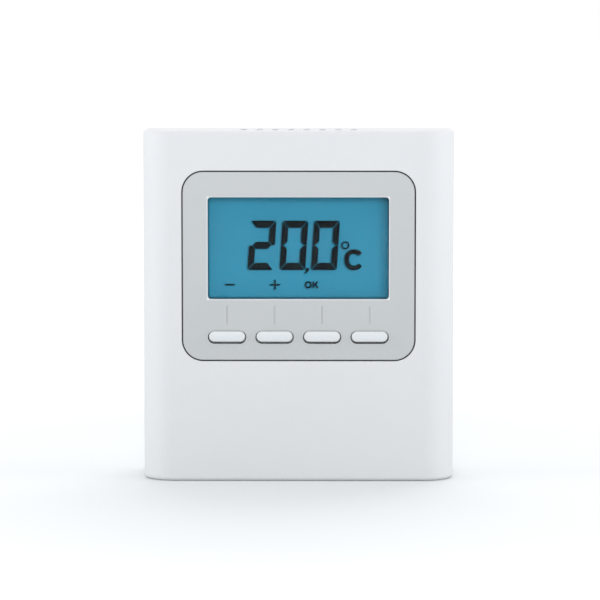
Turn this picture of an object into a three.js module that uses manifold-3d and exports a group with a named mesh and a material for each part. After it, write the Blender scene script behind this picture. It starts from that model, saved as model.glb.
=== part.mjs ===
// Wall thermostat: a battery-powered room unit with a backlit display over four buttons, on a plate
// that screws to the wall. Millimetres. +X is to the right of someone reading the display, +Y points
// at the wall and +Z is up. The origin is under the middle of the unit, on the surface it stands on.
// Depths count from the cover's front face; a span of them is written [front, back].
import * as THREE from "three";
import { mergeVertices } from "three/addons/utils/BufferGeometryUtils.js";
import Module from "manifold-3d";

const wasm = await Module();
wasm.setup();

// ---- Driving sizes ----------------------------------------------------------------------------

const cover = {
  width: 80,
  height: 90,
  wall: 2,
  frontCorner: 8, // radius of the upright front corners, seen from above
  rearCorner: 1.2,
  edgeRound: 0.7, // along the top and bottom edges
  partingGap: 0.4, // shadow line between the cover and the wall plate
};
const boss = { radius: 3, sideGap: 1, fromEnd: 7 }; // for the case screws
const vent = { count: 8, width: 1.6, length: 11, pitch: 4.08, setBack: 6 };
const bezel = {
  sideMargin: 10,
  topMargin: 10.1,
  bottomMargin: 6.5, // from the buttons' centre line to the bezel's bottom edge
  corner: 6,
  thickness: 2,
  recess: 0.2, // below the cover's face
  gap: 0.3, // dark line between the bezel and the cover
};
const ledge = { width: 1.9, thickness: 1.2, rimWall: 1.7 }; // the bezel is taped to it
const tape = { thickness: 0.2, width: 1.5 };
const view = { sideMargin: 6.85, topMargin: 6.9, height: 26, corner: 0.8 }; // the display opening
const lens = { thickness: 0.8, overlap: 1.5, clearance: 0.2 };
const button = {
  count: 4,
  spacing: 2.97, // between one button and the next
  height: 2.7,
  gap: 0.3,
  drop: 9.6, // from the display opening down to the buttons' centre line
  standOut: 0.8, // past the bezel's face
  travel: 0.5,
  flangeThickness: 0.8,
  stemRadius: 1.3,
  stemLength: 0.35,
};
const guideLine = { width: 0.3, depth: 0.25, length: 4.6, aboveButton: 3.2 }; // engraved
const display = {
  polariser: 0.2,
  glass: 1,
  filmMargin: 1.2, // of the polarisers, past the opening all round
  glassSideMargin: 2.85, // of the glass, past the opening at each side
  glassEndMargin: 1.8, // and above and below it
  contactLedge: 2.6, // how far the front glass reaches below the rear glass
  lightGuide: 2.6,
  reflector: 0.2,
  setBack: 0.25, // from the bezel's back to the first layer
};
const holder = { wall: 1.1, endWall: 2.4, clearance: 0.15, setBack: 0.2 };
const peg = { radius: 0.7, length: 1.8, fromEnd: 2, clearance: 0.2 };
const contactStrip = { height: 2, inset: 0.3 };
const led = { width: 1.4, height: 3.2, depth: 2.4, clearance: 0.2 };
const tactSwitch = { side: 6, depth: 3.3, pocket: 1.3, legReach: 0.9, leg: 0.6, legRise: 1.6 };
const plunger = { radius: 1.7, clearance: 0.15, spare: 0.2 };
const board = { thickness: 1.6, fromEnd: 5, gapBehindDisplay: 0.4, sideGap: 0.5 };
const post = { radius: 2, fromSide: 2, fromBottom: 7.2, fromTop: 9 }; // the board screws to them
const boardScrew = { shaftRadius: 0.9, headRadius: 1.8, headHeight: 1.1, length: 5 };
const caseScrew = { shaftRadius: 1.15, headRadius: 2.3, headHeight: 1.5, length: 8 };
const recess = { depth: 0.8, width: 0.6, reach: 0.62 }; // the cross in a screw head
const threadGap = 0.15;
const battery = { diameter: 10.5, body: 43.6, nub: 0.9, nubRadius: 1.9, spacing: 1.7 };
const contact = { thickness: 0.4, size: 9, tail: 1.6 };
const spring = { length: 4, wire: 0.35, turns: 3, plateRadius: 3.6, batteryRadius: 2.4 };
const tray = {
  floor: 1,
  wall: 1.2,
  bossGap: 0.3, // from the lower bosses up to the tray
  clearance: 0.5, // above and below the batteries
  floorClearance: 0.3,
  gapBehindBoard: 0.7,
  ribWidth: 0.9,
  ribHeight: 4,
};
const rearCover = { thickness: 1.6, fit: 0.4, setIn: 0.4, bossGap: 0.2, corner: 1 };
const plate = { thickness: 1.6, depth: 3.6, batteryGap: 0.4 };
const plateRib = { offset: 12, width: 1.2, height: 0.8, margin: 8 };
const screwSlot = { fromSide: 10, aboveMiddle: 7, length: 8.2, width: 4.6, fromTop: 14 };
const hook = { inner: 4.9, outer: 6.3, width: 8, offset: 20, clearance: 0.4 }; // radii about the pivot
const latch = { width: 8, thickness: 1.2, height: 3.9, barb: 0.5, lead: 0.3, clearance: 0.4 };
const notch = { width: 10, depth: 1.7 }; // for the finger that frees the latch
const label = { width: 26, height: 22, thickness: 0.12, aboveTray: 9 };
const antenna = { length: 12, turns: 5, radius: 2.3, wire: 0.4 };

const slip = 0.05; // kept between neighbours that would otherwise touch
const bite = 0.1; // how far a solid sinks into another it is joined to
const past = 1; // how far a cutter runs beyond the face it opens

const facets = { corner: 7, small: 4, round: 20, hole: 14 };

// ---- Places worked out from them --------------------------------------------------------------

const halfWidth = cover.width / 2;
const bezelWidth = cover.width - 2 * bezel.sideMargin;
const bezelTop = cover.height - bezel.topMargin;
const viewWidth = bezelWidth - 2 * view.sideMargin;
const viewTop = bezelTop - view.topMargin;
const viewBottom = viewTop - view.height;
const viewMiddle = (viewTop + viewBottom) / 2;
const buttonMiddle = viewBottom - button.drop;
const bezelBottom = buttonMiddle - bezel.bottomMargin;
const bezelHeight = bezelTop - bezelBottom;
const bezelMiddle = (bezelTop + bezelBottom) / 2;
// The row of button holes is as wide as the display opening.
const buttonRoom = viewWidth - 2 * button.gap;
const buttonWidth = (buttonRoom - (button.count - 1) * button.spacing) / button.count;
const buttonPitch = buttonWidth + button.spacing;
const flangeLip = button.spacing / 3;

const bezelFront = bezel.recess;
const bezelBack = bezelFront + bezel.thickness;
const ledgeFront = bezelBack + tape.thickness + 2 * slip;
const ledgeBack = ledgeFront + ledge.thickness;

// The display's layers, one behind the other.
const layers = {};
let nextLayer = bezelBack + display.setBack;
for (const [name, thickness] of [
  ["frontPolariser", display.polariser],
  ["frontGlass", display.glass],
  ["rearGlass", display.glass],
  ["rearPolariser", display.polariser],
  ["lightGuide", display.lightGuide],
  ["reflector", display.reflector],
]) {
  layers[name] = [nextLayer, nextLayer + thickness];
  nextLayer += thickness + slip;
}

const boardFront = layers.reflector[1] + board.gapBehindDisplay;
const boardBack = boardFront + board.thickness;
const onBoard = boardFront - slip; // where pieces on the board's front end
const trayFront = boardBack + tray.gapBehindBoard;
const trayFloor = trayFront + tray.floor;
const batteryDepth = trayFloor + tray.floorClearance + battery.diameter / 2;
const trayBack = batteryDepth + battery.diameter / 2;
const plateInner = trayBack + plate.batteryGap;
const plateBack = plateInner + plate.thickness;
const plateFront = plateBack - plate.depth;
const coverBack = plateFront - cover.partingGap;
const rearCoverBack = coverBack - rearCover.setIn;
const rearCoverFront = rearCoverBack - rearCover.thickness;
const bossEnd = rearCoverFront - rearCover.bossGap;

const bossX = halfWidth - cover.wall - boss.sideGap - boss.radius;
const bossHeights = [boss.fromEnd, cover.height - boss.fromEnd];
const boardHalf = bossX - boss.radius - board.sideGap;
const boardTop = cover.height - board.fromEnd;
const postX = boardHalf - post.fromSide;
const postHeights = [post.fromBottom, cover.height - post.fromTop];

const glassHalf = viewWidth / 2 + display.glassSideMargin;
const glassSpan = [viewBottom - display.glassEndMargin, viewTop + display.glassEndMargin];
const contactBottom = glassSpan[0] - display.contactLedge;
const holderHalf = glassHalf + holder.endWall;
const holderDepths = [ledgeBack + holder.setBack, boardFront - 2 * slip];
const pegX = holderHalf - holder.endWall / 2;
const pegHeights = [contactBottom + peg.fromEnd, glassSpan[1] - peg.fromEnd];

const flangeFront = bezelBack + 3 * slip;
const flangeBack = flangeFront + button.flangeThickness;
const stemEnd = flangeBack + button.stemLength;
const switchFront = onBoard - tactSwitch.depth;

const batteryLength = battery.body + battery.nub;
const batteryPitch = battery.diameter + battery.spacing;
const contactFace = (batteryLength + spring.length) / 2 + slip; // each way from X = 0
const contactX = contactFace + contact.thickness / 2;
const trayHalf = contactX + contact.thickness / 2 + 2 * slip;
const trayBottom = boss.fromEnd + boss.radius + tray.bossGap + tray.wall;
const lowBattery = trayBottom + tray.clearance + battery.diameter / 2;
const highBattery = lowBattery + batteryPitch;
const batteryMiddle = (lowBattery + highBattery) / 2;
const trayTop = highBattery + battery.diameter / 2 + tray.clearance;
const trayOutside = [trayBottom - tray.wall, trayTop + tray.wall];

// The middle of the whole depth, buttons included, is at Y = 0.
const buttonFront = bezelFront - button.standOut;
const faceY = -(plateBack + buttonFront) / 2;
const at = (depth) => faceY + depth;

// ---- Shapes and solids ------------------------------------------------------------------------

function roundedRectangle(width, height, radius, cx = 0, cy = 0) {
  const shape = new THREE.Shape();
  const [x, y] = [width / 2 - radius, height / 2 - radius];
  shape.absarc(cx + x, cy - y, radius, -Math.PI / 2, 0);
  shape.absarc(cx + x, cy + y, radius, 0, Math.PI / 2);
  shape.absarc(cx - x, cy + y, radius, Math.PI / 2, Math.PI);
  shape.absarc(cx - x, cy - y, radius, Math.PI, 1.5 * Math.PI);
  return shape;
}

function pill(width, height, cx = 0, cy = 0) {
  const shape = new THREE.Shape();
  const [radius, reach] = [Math.min(width, height) / 2, Math.abs(width - height) / 2];
  const turn = width >= height ? 0 : Math.PI / 2;
  const [dx, dy] = [reach * Math.cos(turn), reach * Math.sin(turn)];
  shape.absarc(cx + dx, cy + dy, radius, turn - Math.PI / 2, turn + Math.PI / 2);
  shape.absarc(cx - dx, cy - dy, radius, turn + Math.PI / 2, turn + 1.5 * Math.PI);
  return shape;
}

// The outline from above, drawn in (X, depth): wide radii at the front, small ones at the rear.
function planOutline(inset, back, rearCorner) {
  const shape = new THREE.Shape();
  const frontCorner = cover.frontCorner - inset;
  const x = halfWidth - inset;
  shape.absarc(x - frontCorner, inset + frontCorner, frontCorner, -Math.PI / 2, 0);
  shape.absarc(x - rearCorner, back - rearCorner, rearCorner, 0, Math.PI / 2);
  shape.absarc(rearCorner - x, back - rearCorner, rearCorner, Math.PI / 2, Math.PI);
  shape.absarc(frontCorner - x, inset + frontCorner, frontCorner, Math.PI, 1.5 * Math.PI);
  return shape;
}

// A closed geometry as a solid that can be cut and joined.
function solid(geometry) {
  const bare = new THREE.BufferGeometry();
  bare.setAttribute("position", geometry.attributes.position);
  bare.setIndex(geometry.index);
  const merged = mergeVertices(bare, 1e-4);
  const corners = merged.index.array;
  const faces = [];
  for (let i = 0; i < corners.length; i += 3) {
    const [a, b, c] = corners.slice(i, i + 3);
    if (a !== b && b !== c && c !== a) faces.push(a, b, c);
  }
  const vertProperties = merged.attributes.position.array;
  const triVerts = new Uint32Array(faces);
  return new wasm.Manifold(new wasm.Mesh({ numProp: 3, vertProperties, triVerts }));
}

function extruded(shape, length, curveSegments) {
  return new THREE.ExtrudeGeometry(shape, { depth: length, bevelEnabled: false, curveSegments });
}

// A shape drawn in (X, Z), run through a span of depths.
function slab(shape, [front, back], curveSegments = facets.small) {
  const geometry = extruded(shape, back - front, curveSegments);
  return solid(geometry.rotateX(Math.PI / 2).translate(0, at(back), 0));
}

// A shape drawn in (X, depth), run through a span of heights.
function column(shape, [bottom, top], curveSegments = facets.small) {
  return solid(extruded(shape, top - bottom, curveSegments).translate(0, at(0), bottom));
}

// A shape drawn in (depth, Z), run from one X to another.
function beam(shape, [left, right], curveSegments = facets.small) {
  const turn = new THREE.Matrix4().set(0, 0, 1, left, 1, 0, 0, at(0), 0, 1, 0, 0, 0, 0, 0, 1);
  return solid(extruded(shape, right - left, curveSegments).applyMatrix4(turn));
}

function block([left, right], [front, back], [bottom, top]) {
  const box = new THREE.BoxGeometry(right - left, back - front, top - bottom);
  return solid(box.translate((left + right) / 2, at((front + back) / 2), (bottom + top) / 2));
}

function blockAt([x, z], width, height, depths) {
  return block([x - width / 2, x + width / 2], depths, [z - height / 2, z + height / 2]);
}

// A round bar along the depth.
function rod([x, z], radius, [front, back], sides = facets.hole) {
  const bar = new THREE.CylinderGeometry(radius, radius, back - front, sides);
  return solid(bar.translate(x, at((front + back) / 2), z));
}

function join(solids) {
  return solids.reduce((whole, piece) => whole.add(piece));
}

function cut(whole, solids) {
  return solids.reduce((left, piece) => left.subtract(piece), whole);
}

const bothSides = [-1, 1];

function everyCorner(x, heights) {
  return bothSides.flatMap((side) => heights.map((z) => [side * x, z]));
}

const part = new THREE.Group();

function add(name, made, look) {
  let geometry = made;
  if (!made.isBufferGeometry) {
    const { vertProperties, triVerts } = made.getMesh();
    geometry = new THREE.BufferGeometry();
    geometry.setAttribute("position", new THREE.BufferAttribute(vertProperties, 3));
    geometry.setIndex(new THREE.BufferAttribute(triVerts, 1));
    geometry = geometry.toNonIndexed();
    geometry.computeVertexNormals();
  }
  const transparent = "opacity" in look;
  const mesh = new THREE.Mesh(geometry, new THREE.MeshStandardMaterial({ ...look, transparent }));
  mesh.name = name;
  part.add(mesh);
}

const looks = {
  cover: { color: 0xe4e8ea, roughness: 0.45, metalness: 0 },
  moulding: { color: 0xe2e5e6, roughness: 0.5, metalness: 0 },
  bezel: { color: 0xc7cbce, roughness: 0.4, metalness: 0.3 },
  button: { color: 0xe6eaec, roughness: 0.35, metalness: 0 },
  clear: { color: 0xffffff, roughness: 0.05, metalness: 0, opacity: 0.25 },
  film: { color: 0x9fb6bd, roughness: 0.2, metalness: 0, opacity: 0.4 },
  lightGuide: { color: 0x3f8aa9, roughness: 0.3, metalness: 0 },
  reflector: { color: 0xf4f6f6, roughness: 0.6, metalness: 0 },
  rubber: { color: 0x2c2d2f, roughness: 0.8, metalness: 0 },
  board: { color: 0x1f6b45, roughness: 0.5, metalness: 0 },
  radioBoard: { color: 0x24507a, roughness: 0.5, metalness: 0 },
  chip: { color: 0x1c1d1f, roughness: 0.5, metalness: 0 },
  lamp: { color: 0xeef2f4, roughness: 0.3, metalness: 0 },
  steel: { color: 0xc3c7c9, roughness: 0.28, metalness: 1 },
  brass: { color: 0xb98a45, roughness: 0.3, metalness: 1 },
  batteryJacket: { color: 0x3c4a63, roughness: 0.35, metalness: 0.4 },
  label: { color: 0xd9dcdd, roughness: 0.6, metalness: 0 },
};

// ---- Casing -----------------------------------------------------------------------------------

const everyX = [-cover.width, cover.width];
const everyHeight = [-past, cover.height + past];

// The outside of the whole unit, before it is parted into cover and wall plate.
function envelope() {
  const geometry = new THREE.ExtrudeGeometry(planOutline(0, plateBack, cover.rearCorner), {
    depth: cover.height - 2 * cover.edgeRound,
    bevelThickness: cover.edgeRound,
    bevelSize: cover.edgeRound,
    bevelOffset: -cover.edgeRound,
    bevelSegments: 4,
    curveSegments: facets.corner,
  });
  return solid(geometry.translate(0, at(0), cover.edgeRound));
}

function cavity(back) {
  const outline = planOutline(cover.wall, back, cover.rearCorner / 2);
  return column(outline, [cover.wall, cover.height - cover.wall], facets.corner);
}

function ventSlots(heights) {
  return Array.from({ length: vent.count }, (_, i) => {
    const x = (i - (vent.count - 1) / 2) * vent.pitch;
    return column(pill(vent.width, vent.length, x, vent.setBack + vent.length / 2), heights);
  });
}

// An outline the shape of the bezel's, grown or shrunk all round.
function bezelOutline(grow) {
  const [width, height] = [bezelWidth + 2 * grow, bezelHeight + 2 * grow];
  return roundedRectangle(width, height, bezel.corner + grow, 0, bezelMiddle);
}

function makeFrontCover() {
  const shell = envelope()
    .intersect(block(everyX, [-past, coverBack], everyHeight))
    .subtract(cavity(coverBack + 5 * past));
  const root = cover.wall - bite;
  const rim = slab(bezelOutline(bezel.gap + ledge.rimWall), [root, ledgeBack], facets.corner);
  const bosses = everyCorner(bossX, bossHeights).map((place) =>
    rod(place, boss.radius, [root, bossEnd], facets.round),
  );
  const posts = everyCorner(postX, postHeights).map((place) =>
    rod(place, post.radius, [root, onBoard]),
  );
  const bossHoles = everyCorner(bossX, bossHeights).map((place) =>
    rod(place, caseScrew.shaftRadius + threadGap, [rearCoverBack - caseScrew.length - past, coverBack]),
  );
  const postHoles = everyCorner(postX, postHeights).map((place) =>
    rod(place, boardScrew.shaftRadius + threadGap, [boardBack - boardScrew.length - past, boardBack]),
  );
  const whole = join([shell, rim, ...bosses, ...posts]).intersect(envelope());
  const opened = cut(whole, [
    slab(bezelOutline(bezel.gap), [-past, ledgeFront], facets.corner),
    slab(bezelOutline(-ledge.width), [-past, ledgeBack + past], facets.corner),
    ...bossHoles,
    ...postHoles,
    ...ventSlots([cover.height - cover.wall - past, cover.height + past]),
    ...ventSlots([-past, cover.wall + past]),
  ]);
  add("front_cover", opened, looks.cover);
}

function makeRearCover() {
  const fit = cover.wall + rearCover.fit;
  const [width, height] = [cover.width - 2 * fit, cover.height - 2 * fit];
  const sheet = roundedRectangle(width, height, rearCover.corner, 0, cover.height / 2);
  const trayOuterHalf = trayHalf + tray.wall;
  const outer = block([-trayOuterHalf, trayOuterHalf], [trayFront, trayBack], trayOutside);
  const insideDepths = [trayFloor, trayBack + past];
  const inner = block([-trayHalf, trayHalf], insideDepths, [trayBottom, trayTop]);
  const ribDepths = [trayFloor - bite, trayFloor + tray.ribHeight];
  const rib = blockAt([0, batteryMiddle], 2 * (trayHalf + bite), tray.ribWidth, ribDepths);
  // The rib stops short of the contacts, one of which links the two cells.
  const ribEnds = bothSides.map((side) => {
    const place = [side * contactX, batteryMiddle];
    return blockAt(place, contact.thickness + 4 * slip, tray.ribWidth, insideDepths);
  });
  const tailSlots = [lowBattery, highBattery].map((z) => {
    const size = [contact.thickness + 4 * slip, contact.tail + 8 * slip];
    return blockAt([-contactX, z], ...size, [trayFront - past, trayFloor + past]);
  });
  const throughSheet = [rearCoverFront - past, rearCoverBack + past];
  const screwHoles = everyCorner(bossX, bossHeights).map((place) =>
    rod(place, caseScrew.shaftRadius + 2 * threadGap, throughSheet),
  );
  const hookHigh = Math.sqrt(hook.inner ** 2 - (plateFront - rearCoverFront) ** 2) - hook.clearance;
  const hookLow = Math.sqrt(hook.outer ** 2 - (plateFront - rearCoverBack) ** 2) + hook.clearance;
  const hookSlots = bothSides.map((side) => {
    const place = [side * hook.offset, cover.height - (hookHigh + hookLow) / 2];
    return blockAt(place, hook.width + 2 * hook.clearance, hookLow - hookHigh, throughSheet);
  });
  const latchHeight = latch.thickness + latch.barb + 2 * latch.clearance;
  const latchPlace = [0, latch.height - latch.clearance + latchHeight / 2];
  const latchSlot = blockAt(latchPlace, latch.width + 2 * latch.clearance, latchHeight, throughSheet);
  const moulded = join([slab(sheet, [rearCoverFront, rearCoverBack]), outer]).subtract(inner).add(rib);
  const cuts = [...ribEnds, ...tailSlots, ...screwHoles, ...hookSlots, latchSlot];
  add("rear_cover", cut(moulded, cuts), looks.moulding);
}

// Each hook is an arc about the plate's top front edge, so it slides out as the plate swings off.
function hookArc(x) {
  const start = -Math.acos((plate.depth - plate.thickness + 3 * bite) / hook.inner);
  const end = Math.asin((cover.wall + hook.clearance) / hook.inner) - Math.PI;
  const shape = new THREE.Shape();
  shape.absarc(plateFront, cover.height, hook.outer, start, end, true);
  shape.absarc(plateFront, cover.height, hook.inner, end, start, false);
  return beam(shape, [x - hook.width / 2, x + hook.width / 2], 2 * facets.small);
}

function latchTongue() {
  const top = latch.height + latch.thickness;
  const crest = rearCoverFront - 2 * latch.clearance;
  const shape = new THREE.Shape();
  shape.moveTo(plateInner + bite, latch.height);
  shape.lineTo(plateInner + bite, top);
  shape.lineTo(rearCoverFront - latch.clearance, top);
  shape.lineTo(crest, top + latch.barb);
  shape.lineTo(crest - latch.lead, top);
  shape.lineTo(crest - latch.lead, latch.height);
  return beam(shape, [-latch.width / 2, latch.width / 2]);
}

function makeWallPlate() {
  const inside = cavity(plateBack + past).intersect(block(everyX, [0, plateInner], everyHeight));
  const tub = envelope()
    .intersect(block(everyX, [plateFront, plateBack + past], everyHeight))
    .subtract(inside);
  const ribDepths = [plateInner - plateRib.height, plateInner + bite];
  const ribs = bothSides.map((side) => {
    const x = side * plateRib.offset;
    const heights = [trayOutside[1] + past, cover.height - plateRib.margin];
    return block([x - plateRib.width / 2, x + plateRib.width / 2], ribDepths, heights);
  });
  const throughPlate = [plateInner - past, plateBack + past];
  const screwHeight = cover.height / 2 + screwSlot.aboveMiddle;
  const wallSlots = bothSides.map((side) => {
    const x = side * (halfWidth - screwSlot.fromSide);
    return slab(pill(screwSlot.length, screwSlot.width, x, screwHeight), throughPlate);
  });
  const topHeight = cover.height - screwSlot.fromTop;
  const topSlot = slab(pill(screwSlot.width, screwSlot.length, 0, topHeight), throughPlate);
  const fingerDepths = [plateFront - past, plateFront + notch.depth];
  const fingerNotch = blockAt([0, 0], notch.width, 2 * (cover.wall + past), fingerDepths);
  const hooks = bothSides.map((side) => hookArc(side * hook.offset));
  const moulded = join([tub, latchTongue(), ...hooks, ...ribs]);
  add("wall_plate", cut(moulded, [...wallSlots, topSlot, fingerNotch]), looks.moulding);
}

function makeScrew(name, place, headFace, { shaftRadius, headRadius, headHeight, length }) {
  const seat = headFace + slip;
  const head = rod(place, headRadius, [seat, seat + headHeight], facets.round);
  const shaft = rod(place, shaftRadius, [seat - length, seat + bite]);
  const crossDepths = [seat + headHeight - recess.depth, seat + headHeight + past];
  const reach = 2 * headRadius * recess.reach;
  const across = blockAt(place, reach, recess.width, crossDepths);
  const upright = blockAt(place, recess.width, reach, crossDepths);
  add(name, cut(join([head, shaft]), [across, upright]), looks.steel);
}

const cornerNames = ["left_bottom", "left_top", "right_bottom", "right_top"];

function makeScrews() {
  everyCorner(bossX, bossHeights).forEach((place, i) =>
    makeScrew(`case_screw_${cornerNames[i]}`, place, rearCoverBack, caseScrew),
  );
  everyCorner(postX, postHeights).forEach((place, i) =>
    makeScrew(`board_screw_${cornerNames[i]}`, place, boardBack, boardScrew),
  );
}

function makeLabel() {
  const middle = trayOutside[1] + label.aboveTray + label.height / 2;
  const shape = roundedRectangle(label.width, label.height, rearCover.corner, 0, middle);
  const front = rearCoverBack + slip;
  add("rating_label", slab(shape, [front, front + label.thickness]), looks.label);
}

// ---- Bezel, lens and buttons --------------------------------------------------------------------

const buttonXs = Array.from(
  { length: button.count },
  (_, i) => (i - (button.count - 1) / 2) * buttonPitch,
);

// An outline the shape of the display opening, grown all round.
function viewOutline(grow = 0) {
  const [width, height] = [viewWidth + 2 * grow, view.height + 2 * grow];
  return roundedRectangle(width, height, view.corner, 0, viewMiddle);
}

function buttonOutline(x, grow = 0) {
  return pill(buttonWidth + 2 * grow, button.height + 2 * grow, x, buttonMiddle);
}

function makeBezel() {
  const through = [-past, bezelBack + past];
  const lensBack = bezelBack - slip / 2;
  const lensFront = lensBack - lens.thickness;
  const holes = buttonXs.map((x) => slab(buttonOutline(x, button.gap), through));
  const lineMiddle = buttonMiddle + guideLine.aboveButton + guideLine.length / 2;
  const lines = buttonXs.map((x) => {
    const depths = [-past, bezelFront + guideLine.depth];
    return blockAt([x, lineMiddle], guideLine.width, guideLine.length, depths);
  });
  const face = slab(bezelOutline(0), [bezelFront, bezelBack], facets.corner);
  const lensPocket = slab(viewOutline(lens.overlap + lens.clearance), [lensFront - slip, bezelBack + past]);
  const bezelCuts = [slab(viewOutline(), through), lensPocket, ...holes, ...lines];
  add("front_bezel", cut(face, bezelCuts), looks.bezel);
  add("window_lens", slab(viewOutline(lens.overlap), [lensFront, lensBack]), looks.clear);

  const tapeFront = bezelBack + slip;
  const tapeOuter = slab(bezelOutline(-bite), [tapeFront, tapeFront + tape.thickness]);
  const tapeInner = slab(bezelOutline(-bite - tape.width), [tapeFront - past, ledgeBack]);
  add("bezel_adhesive", tapeOuter.subtract(tapeInner), looks.rubber);
}

function makeButton(name, x) {
  const place = [x, buttonMiddle];
  const cap = join([
    slab(buttonOutline(x), [buttonFront, flangeFront + bite]),
    slab(buttonOutline(x, flangeLip), [flangeFront, flangeBack]),
    rod(place, button.stemRadius, [flangeBack - bite, stemEnd]),
  ]);
  add(`${name}_button`, cap, looks.button);

  // The plunger fills the switch's pocket but for the button's travel.
  const pocketBack = switchFront + tactSwitch.pocket;
  const plungerBack = pocketBack - button.travel - plunger.spare;
  const slider = rod(place, plunger.radius, [stemEnd + slip, plungerBack]);
  add(`${name}_switch_plunger`, slider, looks.chip);

  const legs = everyCorner(tactSwitch.side / 2 + tactSwitch.legReach / 2 - bite, bothSides).map(
    ([dx, side]) => {
      const dz = side * 0.35 * tactSwitch.side;
      const depths = [onBoard - tactSwitch.legRise, onBoard];
      return blockAt([x + dx, buttonMiddle + dz], tactSwitch.legReach, tactSwitch.leg, depths);
    },
  );
  const base = blockAt(place, tactSwitch.side, tactSwitch.side, [switchFront, onBoard]);
  const pocket = rod(place, plunger.radius + plunger.clearance, [switchFront - past, pocketBack]);
  add(`${name}_switch`, join([base, ...legs]).subtract(pocket), looks.steel);
}

// ---- Display ------------------------------------------------------------------------------------

function makeDisplay() {
  const sheet = (name, half, heights, depths, look) =>
    add(name, block([-half, half], depths, heights), look);
  const filmHalf = viewWidth / 2 + display.filmMargin;
  const filmSpan = [viewBottom - display.filmMargin, viewTop + display.filmMargin];
  const frontSpan = [contactBottom, glassSpan[1]];
  const guideHalf = glassHalf - 4 * slip;
  sheet("display_front_polariser", filmHalf, filmSpan, layers.frontPolariser, looks.film);
  sheet("display_front_glass", glassHalf, frontSpan, layers.frontGlass, looks.clear);
  sheet("display_rear_glass", glassHalf, glassSpan, layers.rearGlass, looks.clear);
  sheet("display_rear_polariser", filmHalf, filmSpan, layers.rearPolariser, looks.film);
  sheet("display_light_guide", guideHalf, glassSpan, layers.lightGuide, looks.lightGuide);
  sheet("display_reflector", guideHalf, glassSpan, layers.reflector, looks.reflector);

  const stripBottom = contactBottom + contactStrip.inset;
  const stripSpan = [stripBottom, stripBottom + contactStrip.height];
  const stripDepths = [layers.frontGlass[1] + slip, onBoard];
  sheet("display_contact_strip", viewWidth / 2, stripSpan, stripDepths, looks.rubber);

  const room = glassHalf + holder.clearance;
  const roomSpan = [contactBottom - holder.clearance, glassSpan[1] + holder.clearance];
  const outerSpan = [roomSpan[0] - holder.wall, roomSpan[1] + holder.wall];
  const frame = block([-holderHalf, holderHalf], holderDepths, outerSpan);
  const inside = block([-room, room], [ledgeBack - past, boardFront + past], roomSpan);
  const ledDepths = [onBoard - led.depth, onBoard];
  const ledPlaces = bothSides.map((side) => [side * (room + led.width / 2), viewMiddle]);
  const ledPockets = ledPlaces.map((place) => {
    const size = [led.width + 2 * led.clearance, led.height + 2 * led.clearance];
    return blockAt(place, ...size, [ledDepths[0] - led.clearance, boardFront + past]);
  });
  const pegs = everyCorner(pegX, pegHeights).map((place) =>
    rod(place, peg.radius, [holderDepths[1] - bite, holderDepths[1] + peg.length]),
  );
  add("display_holder", cut(frame, [inside, ...ledPockets]).add(join(pegs)), looks.moulding);
  add("backlight_led_left", blockAt(ledPlaces[0], led.width, led.height, ledDepths), looks.lamp);
  add("backlight_led_right", blockAt(ledPlaces[1], led.width, led.height, ledDepths), looks.lamp);
}

// ---- Circuit board and what is on it --------------------------------------------------------------

class Helix extends THREE.Curve {
  constructor(start, length, turns, startRadius, endRadius) {
    super();
    Object.assign(this, { start, length, turns, startRadius, endRadius });
  }
  getPoint(u, target = new THREE.Vector3()) {
    const turn = 2 * Math.PI * this.turns * u;
    const radius = this.startRadius + (this.endRadius - this.startRadius) * u;
    const out = new THREE.Vector3(this.length * u, radius * Math.cos(turn), radius * Math.sin(turn));
    return target.copy(this.start).add(out);
  }
}

function coil(start, length, turns, startRadius, endRadius, wire) {
  const section = new THREE.Shape().absarc(0, 0, wire, 0, 2 * Math.PI);
  const extrudePath = new Helix(start, length, turns, startRadius, endRadius);
  const steps = Math.round(turns * facets.hole);
  return solid(
    new THREE.ExtrudeGeometry(section, { steps, curveSegments: 4, extrudePath, bevelEnabled: false }),
  );
}

function makeBoard() {
  const through = [boardFront - past, boardBack + past];
  const sheet = block([-boardHalf, boardHalf], [boardFront, boardBack], [board.fromEnd, boardTop]);
  const screwHoles = everyCorner(postX, postHeights).map((place) =>
    rod(place, boardScrew.shaftRadius + 2 * threadGap, through),
  );
  const pegHoles = everyCorner(pegX, pegHeights).map((place) =>
    rod(place, peg.radius + peg.clearance, through),
  );
  const tailHoles = [lowBattery, highBattery].map((z) =>
    blockAt([-contactX, z], 2 * contact.thickness, contact.tail + 8 * slip, through),
  );
  add("main_board", cut(sheet, [...screwHoles, ...pegHoles, ...tailHoles]), looks.board);
}

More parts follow.
